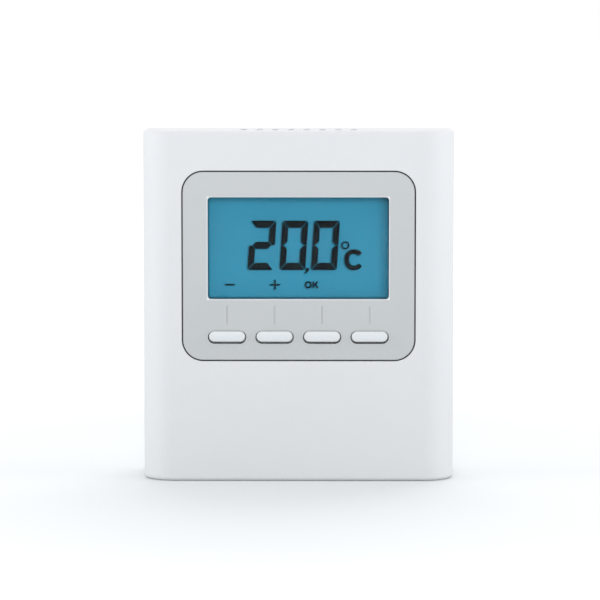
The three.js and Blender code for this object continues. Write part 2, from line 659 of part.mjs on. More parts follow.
// The board's back carries the electronics in two rows over the battery tray.
function makeElectronics() {
  const lowRow = trayOutside[1] + 9;
  const highRow = boardTop - 10.5;
  const onBack = boardBack + slip;
  const chip = (name, place, [width, height, depth], front, look) =>
    add(name, blockAt(place, width, height, [front, front + depth]), look);
  chip("microcontroller", [-12, lowRow], [10, 10, 1.4], onBack, looks.chip);
  chip("memory_chip", [3, lowRow + 3], [5, 4, 1.5], onBack, looks.chip);
  chip("radio_board", [8, highRow], [16, 12, 0.8], onBack, looks.radioBoard);
  chip("radio_shield", [7, highRow], [11, 9, 2], onBack + 0.8 + slip, looks.steel);

  const crystal = new THREE.CylinderGeometry(1, 1, 6, facets.hole).rotateZ(Math.PI / 2);
  add("clock_crystal", crystal.translate(3, at(onBack + 1), lowRow - 3), looks.steel);
  add("storage_capacitor", rod([15, lowRow - 1], 2.5, [onBack, onBack + 6], facets.round), looks.chip);

  const { length, turns, radius, wire } = antenna;
  const axis = new THREE.Vector3(-2 * length, at(onBack + radius + wire), highRow - 4);
  add("antenna_coil", coil(axis, length, turns, radius, radius, wire), looks.brass);

  // The temperature sensor is a bead on two leads, in the air that rises from the lower vents.
  const bead = { x: 2.5 * vent.pitch, z: board.fromEnd + 2, radius: 1.2, depth: onBoard - 2.6 };
  const ball = new THREE.SphereGeometry(bead.radius, 12, 8).translate(bead.x, at(bead.depth), bead.z);
  const leads = bothSides.map((side) =>
    blockAt([bead.x + side * bead.radius * 0.5, bead.z], 0.4, 0.4, [bead.depth, onBoard]),
  );
  add("temperature_sensor", join([solid(ball), ...leads]), looks.chip);
}

// ---- Batteries and their contacts -----------------------------------------------------------------

function makeBattery(name, z, side) {
  const profile = [
    [0, 0],
    [battery.diameter / 2, 0],
    [battery.diameter / 2, battery.body],
    [battery.nubRadius, battery.body],
    [battery.nubRadius, batteryLength],
    [0, batteryLength],
  ].map(([radius, along]) => new THREE.Vector2(radius, along));
  const cell = new THREE.LatheGeometry(profile, 24);
  // The nub's tip nearly meets the flat contact at its own end of the tray.
  cell.translate(0, contactFace - 2 * slip - batteryLength, 0).rotateZ(-Math.PI / 2);
  if (side < 0) cell.rotateZ(Math.PI);
  add(name, cell.translate(0, at(batteryDepth), z), looks.batteryJacket);
}

const contactDepths = [batteryDepth - contact.size / 2, batteryDepth + contact.size / 2];

function makeTailedContact(name, z) {
  const face = blockAt([-contactX, z], contact.thickness, contact.size, contactDepths);
  const tailDepths = [boardFront + 0.3, batteryDepth];
  const tail = blockAt([-contactX, z], contact.thickness, contact.tail, tailDepths);
  add(name, join([face, tail]), looks.steel);
}

function makeContactSpring(name, z, side) {
  const { wire, turns, plateRadius, batteryRadius } = spring;
  const start = new THREE.Vector3(side * (contactFace - wire - slip), at(batteryDepth), z);
  const length = -side * (spring.length - 2 * wire - 2 * slip);
  add(name, coil(start, length, turns, plateRadius, batteryRadius, wire), looks.steel);
}

function makePower() {
  makeBattery("battery_upper", highBattery, 1);
  makeBattery("battery_lower", lowBattery, -1);
  makeTailedContact("negative_contact", highBattery);
  makeTailedContact("positive_contact", lowBattery);
  const bridgeHeight = batteryPitch + contact.size;
  const bridge = blockAt([contactX, batteryMiddle], contact.thickness, bridgeHeight, contactDepths);
  add("bridge_contact", bridge, looks.steel);
  makeContactSpring("negative_spring", highBattery, -1);
  makeContactSpring("bridge_spring", lowBattery, 1);
}

makeFrontCover();
makeRearCover();
makeWallPlate();
makeScrews();
makeLabel();
makeBezel();
["minus", "plus", "ok", "menu"].forEach((name, i) => makeButton(name, buttonXs[i]));
makeDisplay();
makeBoard();
makeElectronics();
makePower();

export default part;
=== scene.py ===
import math

import bmesh
import bpy
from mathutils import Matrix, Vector


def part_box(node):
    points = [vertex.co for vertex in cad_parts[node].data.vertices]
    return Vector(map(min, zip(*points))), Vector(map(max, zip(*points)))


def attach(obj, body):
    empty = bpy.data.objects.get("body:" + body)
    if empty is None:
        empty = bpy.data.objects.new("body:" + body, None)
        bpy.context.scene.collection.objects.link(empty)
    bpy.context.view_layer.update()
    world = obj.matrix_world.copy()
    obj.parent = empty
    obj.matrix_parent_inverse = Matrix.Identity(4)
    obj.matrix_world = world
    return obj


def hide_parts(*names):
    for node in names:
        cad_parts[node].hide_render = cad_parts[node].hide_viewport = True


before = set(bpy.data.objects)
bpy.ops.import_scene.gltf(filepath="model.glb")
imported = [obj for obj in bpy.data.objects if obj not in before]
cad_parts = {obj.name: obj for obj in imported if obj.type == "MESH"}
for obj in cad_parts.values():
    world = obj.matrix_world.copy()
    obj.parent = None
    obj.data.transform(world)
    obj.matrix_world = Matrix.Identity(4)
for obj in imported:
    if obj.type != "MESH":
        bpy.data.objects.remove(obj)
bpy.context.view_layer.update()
scene = bpy.context.scene
print("frame loaded,", len(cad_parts), "nodes")

unit = 0.001  # one millimetre
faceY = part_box("front_cover")[0][1] / unit


def at(x, depth, z):
    return Vector((x, faceY + depth, z)) * unit


# The spans of a node in x, depth and height.
def spanOf(node):
    low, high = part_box(node)
    spans = [[low[i] / unit, high[i] / unit] for i in range(3)]
    spans[1] = [value - faceY for value in spans[1]]
    return spans


def middleOf(span):
    return (span[0] + span[1]) / 2


def sizeOf(span):
    return span[1] - span[0]


def withoutRepeats(outline):
    kept = []
    for point in outline:
        if not kept or math.dist(point, kept[-1]) > 1e-5:
            kept.append(point)
    if math.dist(kept[0], kept[-1]) < 1e-5:
        kept.pop()
    return kept


quarters = ((1, -1, -90), (1, 1, 0), (-1, 1, 90), (-1, -1, 180))


def roundedOutline(width, height, corner, centre=(0, 0), grow=0.0, steps=6):
    radius = max(corner + grow, 0.02)
    reach = (width / 2 + grow - radius, height / 2 + grow - radius)
    outline = []
    for sideX, sideZ, start in quarters:
        for k in range(steps + 1):
            turn = math.radians(start + 90 * k / steps)
            x = centre[0] + sideX * reach[0] + radius * math.cos(turn)
            z = centre[1] + sideZ * reach[1] + radius * math.sin(turn)
            outline.append((x, z))
    return withoutRepeats(outline)


# (depth, grow) rows of a slab whose front and back edges are rounded.
def slabRows(front, back, frontRound=0.0, backRound=0.0, steps=4):
    rows = []
    for k in range(steps + 1 if frontRound else 1):
        turn = math.radians(90 - 90 * k / steps) if frontRound else 0
        rows.append((front + frontRound * (1 - math.sin(turn)), frontRound * (math.cos(turn) - 1)))
    for k in range(steps + 1 if backRound else 1):
        turn = math.radians(90 * k / steps) if backRound else 0
        rows.append((back - backRound * (1 - math.sin(turn)), backRound * (math.cos(turn) - 1)))
    return rows


# Rows of a cutter that leaves a rounded lip where it opens a face.
def mouthRows(front, back, frontLip=0.0, backLip=0.0, steps=4, past=1.0, sink=0.002):
    rows = [(front - past, frontLip)]
    for k in range(steps + 1 if frontLip else 0):
        turn = math.radians(90 - 90 * k / steps)
        depth = front - sink + frontLip * (1 - math.sin(turn))
        rows.append((depth, frontLip * (1 - math.cos(turn))))
    for k in range(steps + 1 if backLip else 0):
        turn = math.radians(90 * k / steps)
        depth = back + sink - backLip * (1 - math.sin(turn))
        rows.append((depth, backLip * (1 - math.cos(turn))))
    rows.append((back + past, backLip))
    return rows


def newObject(name, corners, faces):
    mesh = bpy.data.meshes.new(name)
    mesh.from_pydata([tuple(corner) for corner in corners], [], faces)
    piece = bpy.data.objects.new(name, mesh)
    scene.collection.objects.link(piece)
    return piece


def pointOutwards(piece):
    work = bmesh.new()
    work.from_mesh(piece.data)
    bmesh.ops.remove_doubles(work, verts=work.verts, dist=1e-8)
    bmesh.ops.recalc_face_normals(work, faces=work.faces)
    work.to_mesh(piece.data)
    work.free()
    return piece


# A closed solid through rings that all have the same number of corners.
def loft(name, rings):
    count = len(rings[0])
    corners = [corner for ring in rings for corner in ring]
    faces = []
    for row in range(len(rings) - 1):
        for k in range(count):
            nextK = (k + 1) % count
            low, high = row * count, (row + 1) * count
            faces.append((low + k, low + nextK, high + nextK, high + k))
    faces.append(tuple(range(count)))
    faces.append(tuple(range(len(corners) - count, len(corners))))
    return pointOutwards(newObject(name, corners, faces))


# Rings of an outline drawn in (x, z) that runs through the depth.
def slab(name, outlineAt, rows):
    return loft(name, [[at(x, depth, z) for x, z in outlineAt(grow)] for depth, grow in rows])


# The same for an outline in (x, depth) that runs up.
def column(name, outlineAt, rows):
    return loft(name, [[at(x, depth, z) for x, depth in outlineAt(grow)] for z, grow in rows])


def softBlock(name, spans, edge=0.15, steps=3):
    (left, right), (front, back), (low, high) = spans
    centre = ((left + right) / 2, (low + high) / 2)

    def outlineAt(grow):
        return roundedOutline(right - left, high - low, edge, centre, max(grow, 0.02 - edge), steps)

    return slab(name, outlineAt, slabRows(front, back, edge * 0.98, edge * 0.98, steps))


# A turned piece: rows of (distance along, radius) about an axis through a place.
def turned(name, rows, place, axis="depth", sides=40):
    rings = []
    for along, radius in rows:
        ring = []
        for k in range(sides):
            turn = 2 * math.pi * k / sides
            u, v = radius * math.cos(turn), radius * math.sin(turn)
            if axis == "depth":
                ring.append(at(place[0] + u, along, place[1] + v))
            else:
                ring.append(at(along, place[0] + u, place[1] + v))
        rings.append(ring)
    return loft(name, rings)


# Takes the result of the modifiers as the piece's own mesh.
def settle(piece):
    graph = bpy.context.evaluated_depsgraph_get()
    made = bpy.data.meshes.new_from_object(piece.evaluated_get(graph))
    piece.modifiers.clear()
    piece.data = made
    return piece


def shaped(piece, others, how="DIFFERENCE"):
    for other in others:
        change = piece.modifiers.new("shape", "BOOLEAN")
        change.operation = how
        change.solver = "MANIFOLD"
        change.object = other
        settle(piece)
        bpy.data.objects.remove(other)
    return piece


def joined(piece, others):
    return shaped(piece, others, "UNION")


# Smooth faces, sharp edges where the surface turns, flat faces kept flat up to their rounded edges.
def smoothFaces(piece, sharpFrom=34):
    work = bmesh.new()
    work.from_mesh(piece.data)
    bmesh.ops.remove_doubles(work, verts=work.verts, dist=2e-7)
    bmesh.ops.dissolve_degenerate(work, edges=work.edges, dist=2e-7)
    bmesh.ops.dissolve_limit(work, angle_limit=math.radians(0.15), verts=work.verts, edges=work.edges)
    for face in work.faces:
        face.smooth = True
    for edge in work.edges:
        edge.smooth = edge.is_manifold and edge.calc_face_angle(0) < math.radians(sharpFrom)
    work.to_mesh(piece.data)
    work.free()
    weighted = piece.modifiers.new("weightedNormals", "WEIGHTED_NORMAL")
    weighted.keep_sharp = True
    weighted.weight = 90
    return settle(piece)


def finishPiece(piece, look, body="unit", nodes=(), sharpFrom=34):
    smoothFaces(piece, sharpFrom)
    piece.data.materials.clear()
    piece.data.materials.append(look)
    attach(piece, body)
    if nodes:
        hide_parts(*nodes)
    return piece


def newTree(name, inputs):
    tree = bpy.data.node_groups.new(name, "GeometryNodeTree")
    tree.interface.new_socket("Geometry", in_out="OUTPUT", socket_type="NodeSocketGeometry")
    for label, kind in inputs.items():
        tree.interface.new_socket(label, in_out="INPUT", socket_type="NodeSocket" + kind)
    return tree


def treeNode(tree, kind, sockets=None, settings=None):
    made = tree.nodes.new(kind)
    for key, value in (settings or {}).items():
        setattr(made, key, value)
    for key, value in (sockets or {}).items():
        if isinstance(value, bpy.types.NodeSocket):
            tree.links.new(value, made.inputs[key])
        else:
            made.inputs[key].default_value = value
    return made


def endTree(tree, geometry, finish):
    whole = treeNode(tree, "GeometryNodeRealizeInstances", {"Geometry": geometry})
    painted = treeNode(tree, "GeometryNodeSetMaterial", {"Geometry": whole.outputs[0], "Material": finish})
    treeNode(tree, "NodeGroupOutput", {0: painted.outputs[0]})
    return tree


# Rows and columns of one piece, in the plane of the cover's face.
def makeRowsTree():
    kinds = {"Piece": "Object", "Columns": "Int", "Rows": "Int", "First": "Vector"}
    kinds.update({"Column Step": "Vector", "Row Step": "Vector", "Finish": "Material"})
    tree = newTree("rowsOfCopies", kinds)
    given = treeNode(tree, "NodeGroupInput").outputs
    step = {"Count": given["Columns"], "Offset": given["Column Step"]}
    across = treeNode(tree, "GeometryNodeMeshLine", step)
    start = {"Count": given["Rows"], "Start Location": given["First"], "Offset": given["Row Step"]}
    upwards = treeNode(tree, "GeometryNodeMeshLine", start)
    spread = {"Points": upwards.outputs[0], "Instance": across.outputs[0]}
    lines = treeNode(tree, "GeometryNodeInstanceOnPoints", spread)
    places = treeNode(tree, "GeometryNodeRealizeInstances", {"Geometry": lines.outputs[0]})
    copied = treeNode(tree, "GeometryNodeObjectInfo", {"Object": given["Piece"]})
    copies = {"Points": places.outputs[0], "Instance": copied.outputs["Geometry"]}
    spreadOut = treeNode(tree, "GeometryNodeInstanceOnPoints", copies)
    return endTree(tree, spreadOut.outputs[0], given["Finish"])


# A wound wire along x: a spiral whose radius may change from one end to the other.
def makeCoilTree():
    kinds = {"Turns": "Float", "Start Radius": "Float", "End Radius": "Float", "Length": "Float"}
    kinds.update({"Wire Radius": "Float", "Start": "Vector", "Turned": "Rotation", "Finish": "Material"})
    tree = newTree("woundWire", kinds)
    given = treeNode(tree, "NodeGroupInput").outputs
    sockets = {"Resolution": 40, "Rotations": given["Turns"], "Start Radius": given["Start Radius"]}
    sockets.update({"End Radius": given["End Radius"], "Height": given["Length"]})
    path = treeNode(tree, "GeometryNodeCurveSpiral", sockets)
    ring = {"Resolution": 14, "Radius": given["Wire Radius"]}
    section = treeNode(tree, "GeometryNodeCurvePrimitiveCircle", ring)
    sweep = {"Curve": path.outputs[0], "Profile Curve": section.outputs[0], "Fill Caps": True}
    wound = treeNode(tree, "GeometryNodeCurveToMesh", sweep)
    move = {"Geometry": wound.outputs[0], "Translation": given["Start"], "Rotation": given["Turned"]}
    placed = treeNode(tree, "GeometryNodeTransform", move)
    return endTree(tree, placed.outputs[0], given["Finish"])


# The tree's result as a plain mesh object.
def grown(name, tree, values):
    piece = newObject(name, [(0, 0, 0)], [])
    change = piece.modifiers.new("grow", "NODES")
    change.node_group = tree
    for item in tree.interface.items_tree:
        if item.in_out == "INPUT" and item.name in values:
            change[item.identifier] = values[item.name]
    return settle(piece)


rowsTree = makeRowsTree()
coilTree = makeCoilTree()


def copiesOf(name, piece, columns, rows, columnStep, rowStep):
    values = {"Piece": piece, "Columns": columns, "Rows": rows, "First": (0, 0, 0), "Finish": plainLook}
    values.update({"Column Step": (columnStep * unit, 0, 0), "Row Step": (0, 0, rowStep * unit)})
    made = grown(name, rowsTree, values)
    bpy.data.objects.remove(piece)
    return pointOutwards(made)


plainLook = bpy.data.materials.new("plainLook")


# A colour given by its levels from 0 to 255.
def shade(red, green, blue):
    linear = []
    for level in (red / 255, green / 255, blue / 255):
        linear.append(level / 12.92 if level <= 0.04045 else ((level + 0.055) / 1.055) ** 2.4)
    return (*linear, 1.0)


# A socket that can be used in an expression, which adds its Math nodes.
class Wire:
    def __init__(self, look, socket):
        self.look, self.socket = look, socket

    def maths(self, how, first, second):
        return self.look.node("ShaderNodeMath", {0: first, 1: second}, {"operation": how})

    def __add__(self, other):
        return self.maths("ADD", self, other)

    def __sub__(self, other):
        return self.maths("SUBTRACT", self, other)

    def __rsub__(self, other):
        return self.maths("SUBTRACT", other, self)

    def __mul__(self, other):
        return self.maths("MULTIPLY", self, other)

    def __gt__(self, other):
        return self.maths("GREATER_THAN", self, other)

    def __lt__(self, other):
        return self.maths("LESS_THAN", self, other)

    def __mod__(self, other):
        return self.maths("FLOORED_MODULO", self, other)

    def __abs__(self):
        return self.maths("ABSOLUTE", self, 0.0)

    def larger(self, other):
        return self.maths("MAXIMUM", self, other)

    def smaller(self, other):
        return self.maths("MINIMUM", self, other)

    def clipped(self):
        return self.maths("MINIMUM", self.maths("MAXIMUM", self, 0.0), 1.0)

    __radd__ = __add__
    __rmul__ = __mul__


socketNames = {
    "colour": "Base Color",
    "roughness": "Roughness",
    "metal": "Metallic",
    "normal": "Normal",
    "alpha": "Alpha",
    "coat": "Coat Weight",
    "glow": "Emission Color",
    "glowStrength": "Emission Strength",
    "specular": "Specular IOR Level",
    "index": "IOR",
    "through": "Transmission Weight",
}


# One material. Places inside it are in metres from the object's origin.
class Look:
    def __init__(self, name):
        self.material = bpy.data.materials.new(name)
        self.material.use_nodes = True
        self.tree = self.material.node_tree
        self.tree.nodes.clear()
        self.place = self.node("ShaderNodeTexCoord", {}, {}, "Object")

    def node(self, kind, sockets=None, settings=None, output=0):
        made = self.tree.nodes.new(kind)
        for key, value in (settings or {}).items():
            setattr(made, key, value)
        for key, value in (sockets or {}).items():
            if isinstance(value, Wire):
                self.tree.links.new(value.socket, made.inputs[key])
            else:
                made.inputs[key].default_value = value
        return Wire(self, made.outputs[output])

    def axis(self, name):
        return self.node("ShaderNodeSeparateXYZ", {0: self.place}, {}, name)

    # a soft mottle between 0 and 1; size is its grain in millimetres
    def mottle(self, size, detail=3.0, roughness=0.55, place=None):
        sockets = {"Vector": place or self.place, "Scale": 1 / (size * unit)}
        sockets.update({"Detail": detail, "Roughness": roughness})
        return self.node("ShaderNodeTexNoise", sockets)

    # cells of a size in millimetres
    def grains(self, size, output="Distance"):
        sockets = {"Vector": self.place, "Scale": 1 / (size * unit)}
        return self.node("ShaderNodeTexVoronoi", sockets, {}, output)

    # how far a place lies outside an upright rectangle, in millimetres
    def outsideOf(self, across, upwards):
        offX = abs(self.axis("X") * 1000 - middleOf(across)) - sizeOf(across) / 2
        offZ = abs(self.axis("Z") * 1000 - middleOf(upwards)) - sizeOf(upwards) / 2
        return offX.larger(offZ)

    def stretched(self, x, y, z):
        return self.node("ShaderNodeMapping", {"Vector": self.place, "Scale": (x, y, z)})

    def mixed(self, first, second, mask):
        return self.node("ShaderNodeMix", {0: mask, 6: first, 7: second}, {"data_type": "RGBA"}, 2)

    def relief(self, height, depth, strength=1.0):
        return self.node("ShaderNodeBump", {"Height": height, "Distance": depth * unit, "Strength": strength})

    def finished(self, surface):
        end = self.tree.nodes.new("ShaderNodeOutputMaterial")
        self.tree.links.new(surface.socket, end.inputs["Surface"])
        return self.material

    def surface(self, **sockets):
        named = {socketNames[key]: value for key, value in sockets.items()}
        return self.node("ShaderNodeBsdfPrincipled", named)


# Moulded plastic: a fine eroded texture over a very slight drift of tone.
plasticTints = {
    "coverPlastic": {"light": (206, 208, 210), "deep": (201, 203, 206), "roughness": 0.5},
    "mouldingPlastic": {"light": (209, 212, 214), "deep": (203, 207, 209), "roughness": 0.5},
    "buttonPlastic": {"light": (203, 207, 210), "deep": (200, 204, 207), "roughness": 0.34},
    "chipPlastic": {"light": (38, 39, 41), "deep": (27, 28, 30), "roughness": 0.55},
    "foamRubber": {"light": (52, 53, 55), "deep": (33, 34, 36), "roughness": 0.85},
    "reflectorFilm": {"light": (244, 245, 245), "deep": (236, 238, 239), "roughness": 0.5},
}
plasticGrains = {  # the texture's grain and depth in millimetres, and the sheen
    "coverPlastic": {"grain": 0.22, "depth": 0.03, "specular": 0.1},
    "mouldingPlastic": {"grain": 0.35, "depth": 0.05, "specular": 0.4},
    "buttonPlastic": {"grain": 0.4, "depth": 0.006, "specular": 0.4},
    "chipPlastic": {"grain": 0.12, "depth": 0.01, "specular": 0.4},
    "foamRubber": {"grain": 0.18, "depth": 0.05, "specular": 0.4},
    "reflectorFilm": {"grain": 0.5, "depth": 0.004, "specular": 0.4},
}
plasticMix = {"drift": 14, "driftShare": 0.6, "pits": 1.7, "pitShare": 0.4, "spread": 0.1, "strength": 0.6}


def plasticLook(name):
    tint, texture, mix = plasticTints[name], plasticGrains[name], plasticMix
    look = Look(name)
    drift = look.mottle(mix["drift"], 2.0)
    fine = look.mottle(texture["grain"], 4.0, 0.6)
    pits = look.grains(texture["grain"] * mix["pits"])
    tone = (drift * mix["driftShare"] + fine * (1 - mix["driftShare"])).clipped()
    colour = look.mixed(shade(*tint["deep"]), shade(*tint["light"]), tone)
    roughness = tint["roughness"] - mix["spread"] / 2 + fine * mix["spread"]
    height = fine * (1 - mix["pitShare"]) + pits * mix["pitShare"]
    normal = look.relief(height, texture["depth"], mix["strength"])
    sockets = {"colour": colour, "roughness": roughness, "specular": texture["specular"]}
    return look.finished(look.surface(normal=normal, **sockets))


# Silver-grey satin paint with very fine flakes in it, a painted highlight along the window's edge, and
# painted shade: every face deeper than the front face is dark, in the holes and gaps.
bezelPaintTint = {
    "light": (178, 181, 183),
    "deep": (170, 174, 176),
    # rim: the colour of a painted highlight along the window's edge
    "rim": (205, 208, 211),
    "highlightWidth": 0.25,
    # painted shade in the holes and gaps, on the faces behind the front face
    "bare": (46, 48, 51),
    "shadeDepth": 0.35,
    "flake": 0.09,
    "flakeShare": 0.35,
    "roughness": 0.4,
    "metal": 0.15,
}


def bezelPaintLook(opening):
    tint = bezelPaintTint
    look = Look("bezelPaint")
    flakes = look.grains(tint["flake"], "Color")
    flake = look.node("ShaderNodeSeparateColor", {0: flakes}, {}, "Red")
    cloud = look.mottle(20, 2.0)
    tone = (flake * tint["flakeShare"] + cloud * (1 - tint["flakeShare"])).clipped()
    painted = look.mixed(shade(*tint["deep"]), shade(*tint["light"]), tone)
    rim = look.outsideOf(*opening) < tint["highlightWidth"]  # a painted highlight along the window's edge
    highlighted = look.mixed(painted, shade(*tint["rim"]), rim)
    # painted shade: faces deeper than the front face turn dark
    behind = ((look.axis("Y") * 1000 - (faceY + tint["shadeDepth"])) * 6).clipped()
    colour = look.mixed(highlighted, shade(*tint["bare"]), behind)
    roughness = tint["roughness"] - 0.05 + flake * 0.12
    normal = look.relief(look.mottle(0.16, 3.0), 0.006, 0.5)
    sockets = {"colour": colour, "roughness": roughness, "metal": tint["metal"]}
    return look.finished(look.surface(normal=normal, **sockets))


# The clear pane lets the lamps through to what lies behind it.
paneTint = {"index": 1.1, "smudge": 9, "haze": 0.006, "tint": (252, 254, 255), "wave": 26}


def paneLook():
    tint = paneTint
    look = Look("clearPane")
    smudge = look.mottle(tint["smudge"], 3.0)
    colour = look.mixed(shade(*tint["tint"]), (1, 1, 1, 1), smudge)
    normal = look.relief(look.mottle(tint["wave"], 1.0), 0.001, 0.2)
    sockets = {"colour": colour, "roughness": smudge * tint["haze"], "index": tint["index"], "through": 1.0}
    glass = look.surface(normal=normal, **sockets)
    letThrough = look.node("ShaderNodeBsdfTransparent")
    lamps = look.node("ShaderNodeLightPath", {}, {}, "Is Shadow Ray")
    return look.finished(look.node("ShaderNodeMixShader", {0: lamps, 1: glass, 2: letThrough}))


# The thin sheets of the display: nearly clear, with a faint tint.
sheetTints = {
    "displayGlass": {"colour": (30, 52, 58), "alpha": 0.018, "roughness": 0.06},
    "polariserFilm": {"colour": (28, 36, 40), "alpha": 0.035, "roughness": 0.16},
}


def sheetLook(name):
    tint = sheetTints[name]
    look = Look(name)
    streak = look.mottle(2.5, 4.0, 0.5, look.stretched(1, 1, 0.12))
    alpha = tint["alpha"] * 0.75 + streak * (tint["alpha"] * 0.5)
    darker = shade(*[level - 8 for level in tint["colour"]])
    colour = look.mixed(shade(*tint["colour"]), darker, streak)
    sockets = {"colour": colour, "roughness": tint["roughness"] + streak * 0.04, "alpha": alpha}
    return look.finished(look.surface(**sockets))


# Blue light from the moulded guide, a little brighter towards the bottom, with painted shade: darker along
# the top and right edges, where the window's rim shades it, and in a thin border all round.
lightGuideTint = {
    "blue": (34, 112, 142),
    # the edge colours: where the painted shade of the window's rim is deepest
    "edge": (22, 40, 52),
    "glowBlue": (43, 145, 174),
    "glowShaded": (20, 36, 52),
    "glow": 0.6,
    "dot": 0.55,
    "topShade": 1.9,  # widths of the painted shade at the edges
    "sideShade": 3.1,
    "borderShade": 0.36,
    "topShare": 0.44,  # and how much each takes away
    "sideShare": 0.48,
    "borderShare": 0.6,
}


def lightGuideLook(opening):
    tint = lightGuideTint
    look = Look("lightGuide")
    (left, right), (low, high) = opening
    toTop = high - look.axis("Z") * 1000
    toRight = right - look.axis("X") * 1000
    toBottom = look.axis("Z") * 1000 - low
    toLeft = look.axis("X") * 1000 - left
    nearest = toTop.smaller(toRight).smaller(toBottom).smaller(toLeft)
    # painted shade of the window's rim: along the top, the right side and a thin border all round
    border = (nearest * (1 / tint["borderShade"])).clipped()
    fromTop = (toTop * (1 / tint["topShade"])).clipped()
    fromRight = (toRight * (1 / tint["sideShade"])).clipped()
    least = 1 - tint["topShare"] - tint["sideShare"]
    shading = fromTop * tint["topShare"] + fromRight * tint["sideShare"] + least
    lit = shading * (border * tint["borderShare"] + (1 - tint["borderShare"]))
    cloud = look.mottle(9, 2.0)
    dots = look.grains(tint["dot"])
    # also slightly darker towards the top
    strength = (lit - toBottom * 0.0018 + cloud * 0.03 - dots * 0.02).clipped()
    colour = look.mixed(shade(*tint["edge"]), shade(*tint["blue"]), strength)
    glow = look.mixed(shade(*tint["glowShaded"]), shade(*tint["glowBlue"]), strength)
    sockets = {"colour": colour, "glow": glow, "glowStrength": tint["glow"], "specular": 0.1}
    sockets.update({"roughness": 0.42 + cloud * 0.1, "normal": look.relief(dots, 0.01, 0.3)})
    return look.finished(look.surface(**sockets))


# The dark figures of the display, a little uneven like printed ink, and the soft shadow that they throw.
figureTints = {
    "figureInk": {"light": (9, 16, 19), "deep": (4, 9, 12), "roughness": 0.5, "uneven": 0.15},
    "figureShade": {
        "light": (20, 50, 64),
        "deep": (16, 44, 58),
        "roughness": 0.6,
        "uneven": 0.0,
        "alpha": (0.14, 0.19),
    },
}


def figureLook(name):
    tint = figureTints[name]
    look = Look(name)
    cloud = look.mottle(1.6, 3.0)
    colour = look.mixed(shade(*tint["deep"]), shade(*tint["light"]), cloud)
    roughness = cloud * tint["uneven"] + tint["roughness"]
    sockets = {"colour": colour, "roughness": roughness, "specular": 0.02}
    if "alpha" in tint:
        least, most = tint["alpha"]
        sockets["alpha"] = cloud * (most - least) + least
    return look.finished(look.surface(**sockets))


# Solder mask over copper: tracks as two sets of fine bands, pads as bright dots.
boardTints = {
    "circuitBoard": {"mask": (24, 92, 56), "copper": (46, 128, 78), "pad": (196, 190, 162), "pitch": 1.3},
    "radioCircuitBoard": {
        "mask": (26, 62, 104),
        "copper": (44, 92, 142),
        "pad": (200, 196, 170),
        "pitch": 1.0,
    },
}


def boardLook(name):
    tint = boardTints[name]
    look = Look(name)
    pitch = tint["pitch"] * unit
    cells = look.grains(tint["pitch"] * 6, "Color")
    region = look.node("ShaderNodeSeparateColor", {0: cells}, {}, "Red")
    wander = look.mottle(tint["pitch"] * 5, 1.0) * pitch * 1.4

    def bandsAlong(axis):
        return abs(((look.axis(axis) + wander) % pitch) * (1 / pitch) - 0.5) < 0.17

    tracks = (bandsAlong("X") * (region > 0.5) + bandsAlong("Z") * (region < 0.42)).clipped()
    pads = look.grains(tint["pitch"] * 2.3) < 0.16
    weave = look.mottle(0.3, 3.0)
    masked = look.mixed(shade(*tint["mask"]), shade(*tint["copper"]), tracks)
    colour = look.mixed(masked, shade(*tint["pad"]), pads)
    roughness = 0.36 + weave * 0.12 - pads * 0.08
    normal = look.relief((tracks * 0.6 + pads * 0.4 + weave * 0.1).clipped(), 0.03, 0.5)
    return look.finished(look.surface(colour=colour, roughness=roughness, metal=pads * 0.8, normal=normal))


# Metals: fine scratches along one way and a slight change of tone.
metalTints = {
    "platedSteel": {"light": (204, 206, 208), "deep": (176, 179, 182), "roughness": 0.26},
    "stampedShield": {"light": (198, 201, 203), "deep": (172, 175, 178), "roughness": 0.32},
    "antennaWire": {"light": (192, 138, 70), "deep": (160, 104, 48), "roughness": 0.28},
    "crystalCan": {"light": (206, 208, 210), "deep": (184, 187, 190), "roughness": 0.22},
}
scratchesAlong = {
    "platedSteel": (0.06, 1, 1),
    "stampedShield": (1, 1, 0.05),
    "antennaWire": (1, 0.1, 0.1),
    "crystalCan": (0.05, 1, 1),
}


def metalLook(name):
    tint = metalTints[name]
    look = Look(name)
    scratches = look.mottle(0.25, 5.0, 0.65, look.stretched(*scratchesAlong[name]))
    tarnish = look.mottle(3.5, 3.0)
    tone = (tarnish * 0.5 + scratches * 0.5).clipped()
    colour = look.mixed(shade(*tint["deep"]), shade(*tint["light"]), tone)
    roughness = tint["roughness"] - 0.08 + scratches * 0.16 + tarnish * 0.06
    normal = look.relief(scratches, 0.006, 0.5)
    return look.finished(look.surface(colour=colour, roughness=roughness, metal=1.0, normal=normal))


# A battery's printed jacket: a dark sleeve with one pale band near its plus end.
jacketTint = {
    "sleeve": (58, 74, 100),
    "band": (190, 196, 202),
    "line": (120, 132, 150),
    "bandWidth": 7.0,
    "lineWidth": 0.5,
}


def jacketLook(name, plusX, side):
    tint = jacketTint
    look = Look(name)
    inwards = (plusX * unit - look.axis("X")) * (side * 1000)
    band = inwards < tint["bandWidth"]
    line = abs(inwards - (tint["bandWidth"] + 1.0)) < tint["lineWidth"] / 2
    cloud = look.mottle(5, 3.0)
    paler = shade(*[level + 10 for level in tint["sleeve"]])
    sleeve = look.mixed(shade(*tint["sleeve"]), paler, cloud)
    colour = look.mixed(look.mixed(sleeve, shade(*tint["line"]), line), shade(*tint["band"]), band)
    normal = look.relief(look.mottle(0.8, 2.0), 0.008, 0.4)
    sockets = {"colour": colour, "roughness": 0.28 + cloud * 0.1, "metal": band * 0.25 + 0.35}
    return look.finished(look.surface(normal=normal, **sockets))


# A blank paper label: fine fibres and a thin printed frame.
labelTint = {
    "paper": (226, 228, 229),
    "fibre": (217, 219, 220),
    "frame": (150, 154, 157),
    "inset": 1.2,
    "line": 0.22,
}


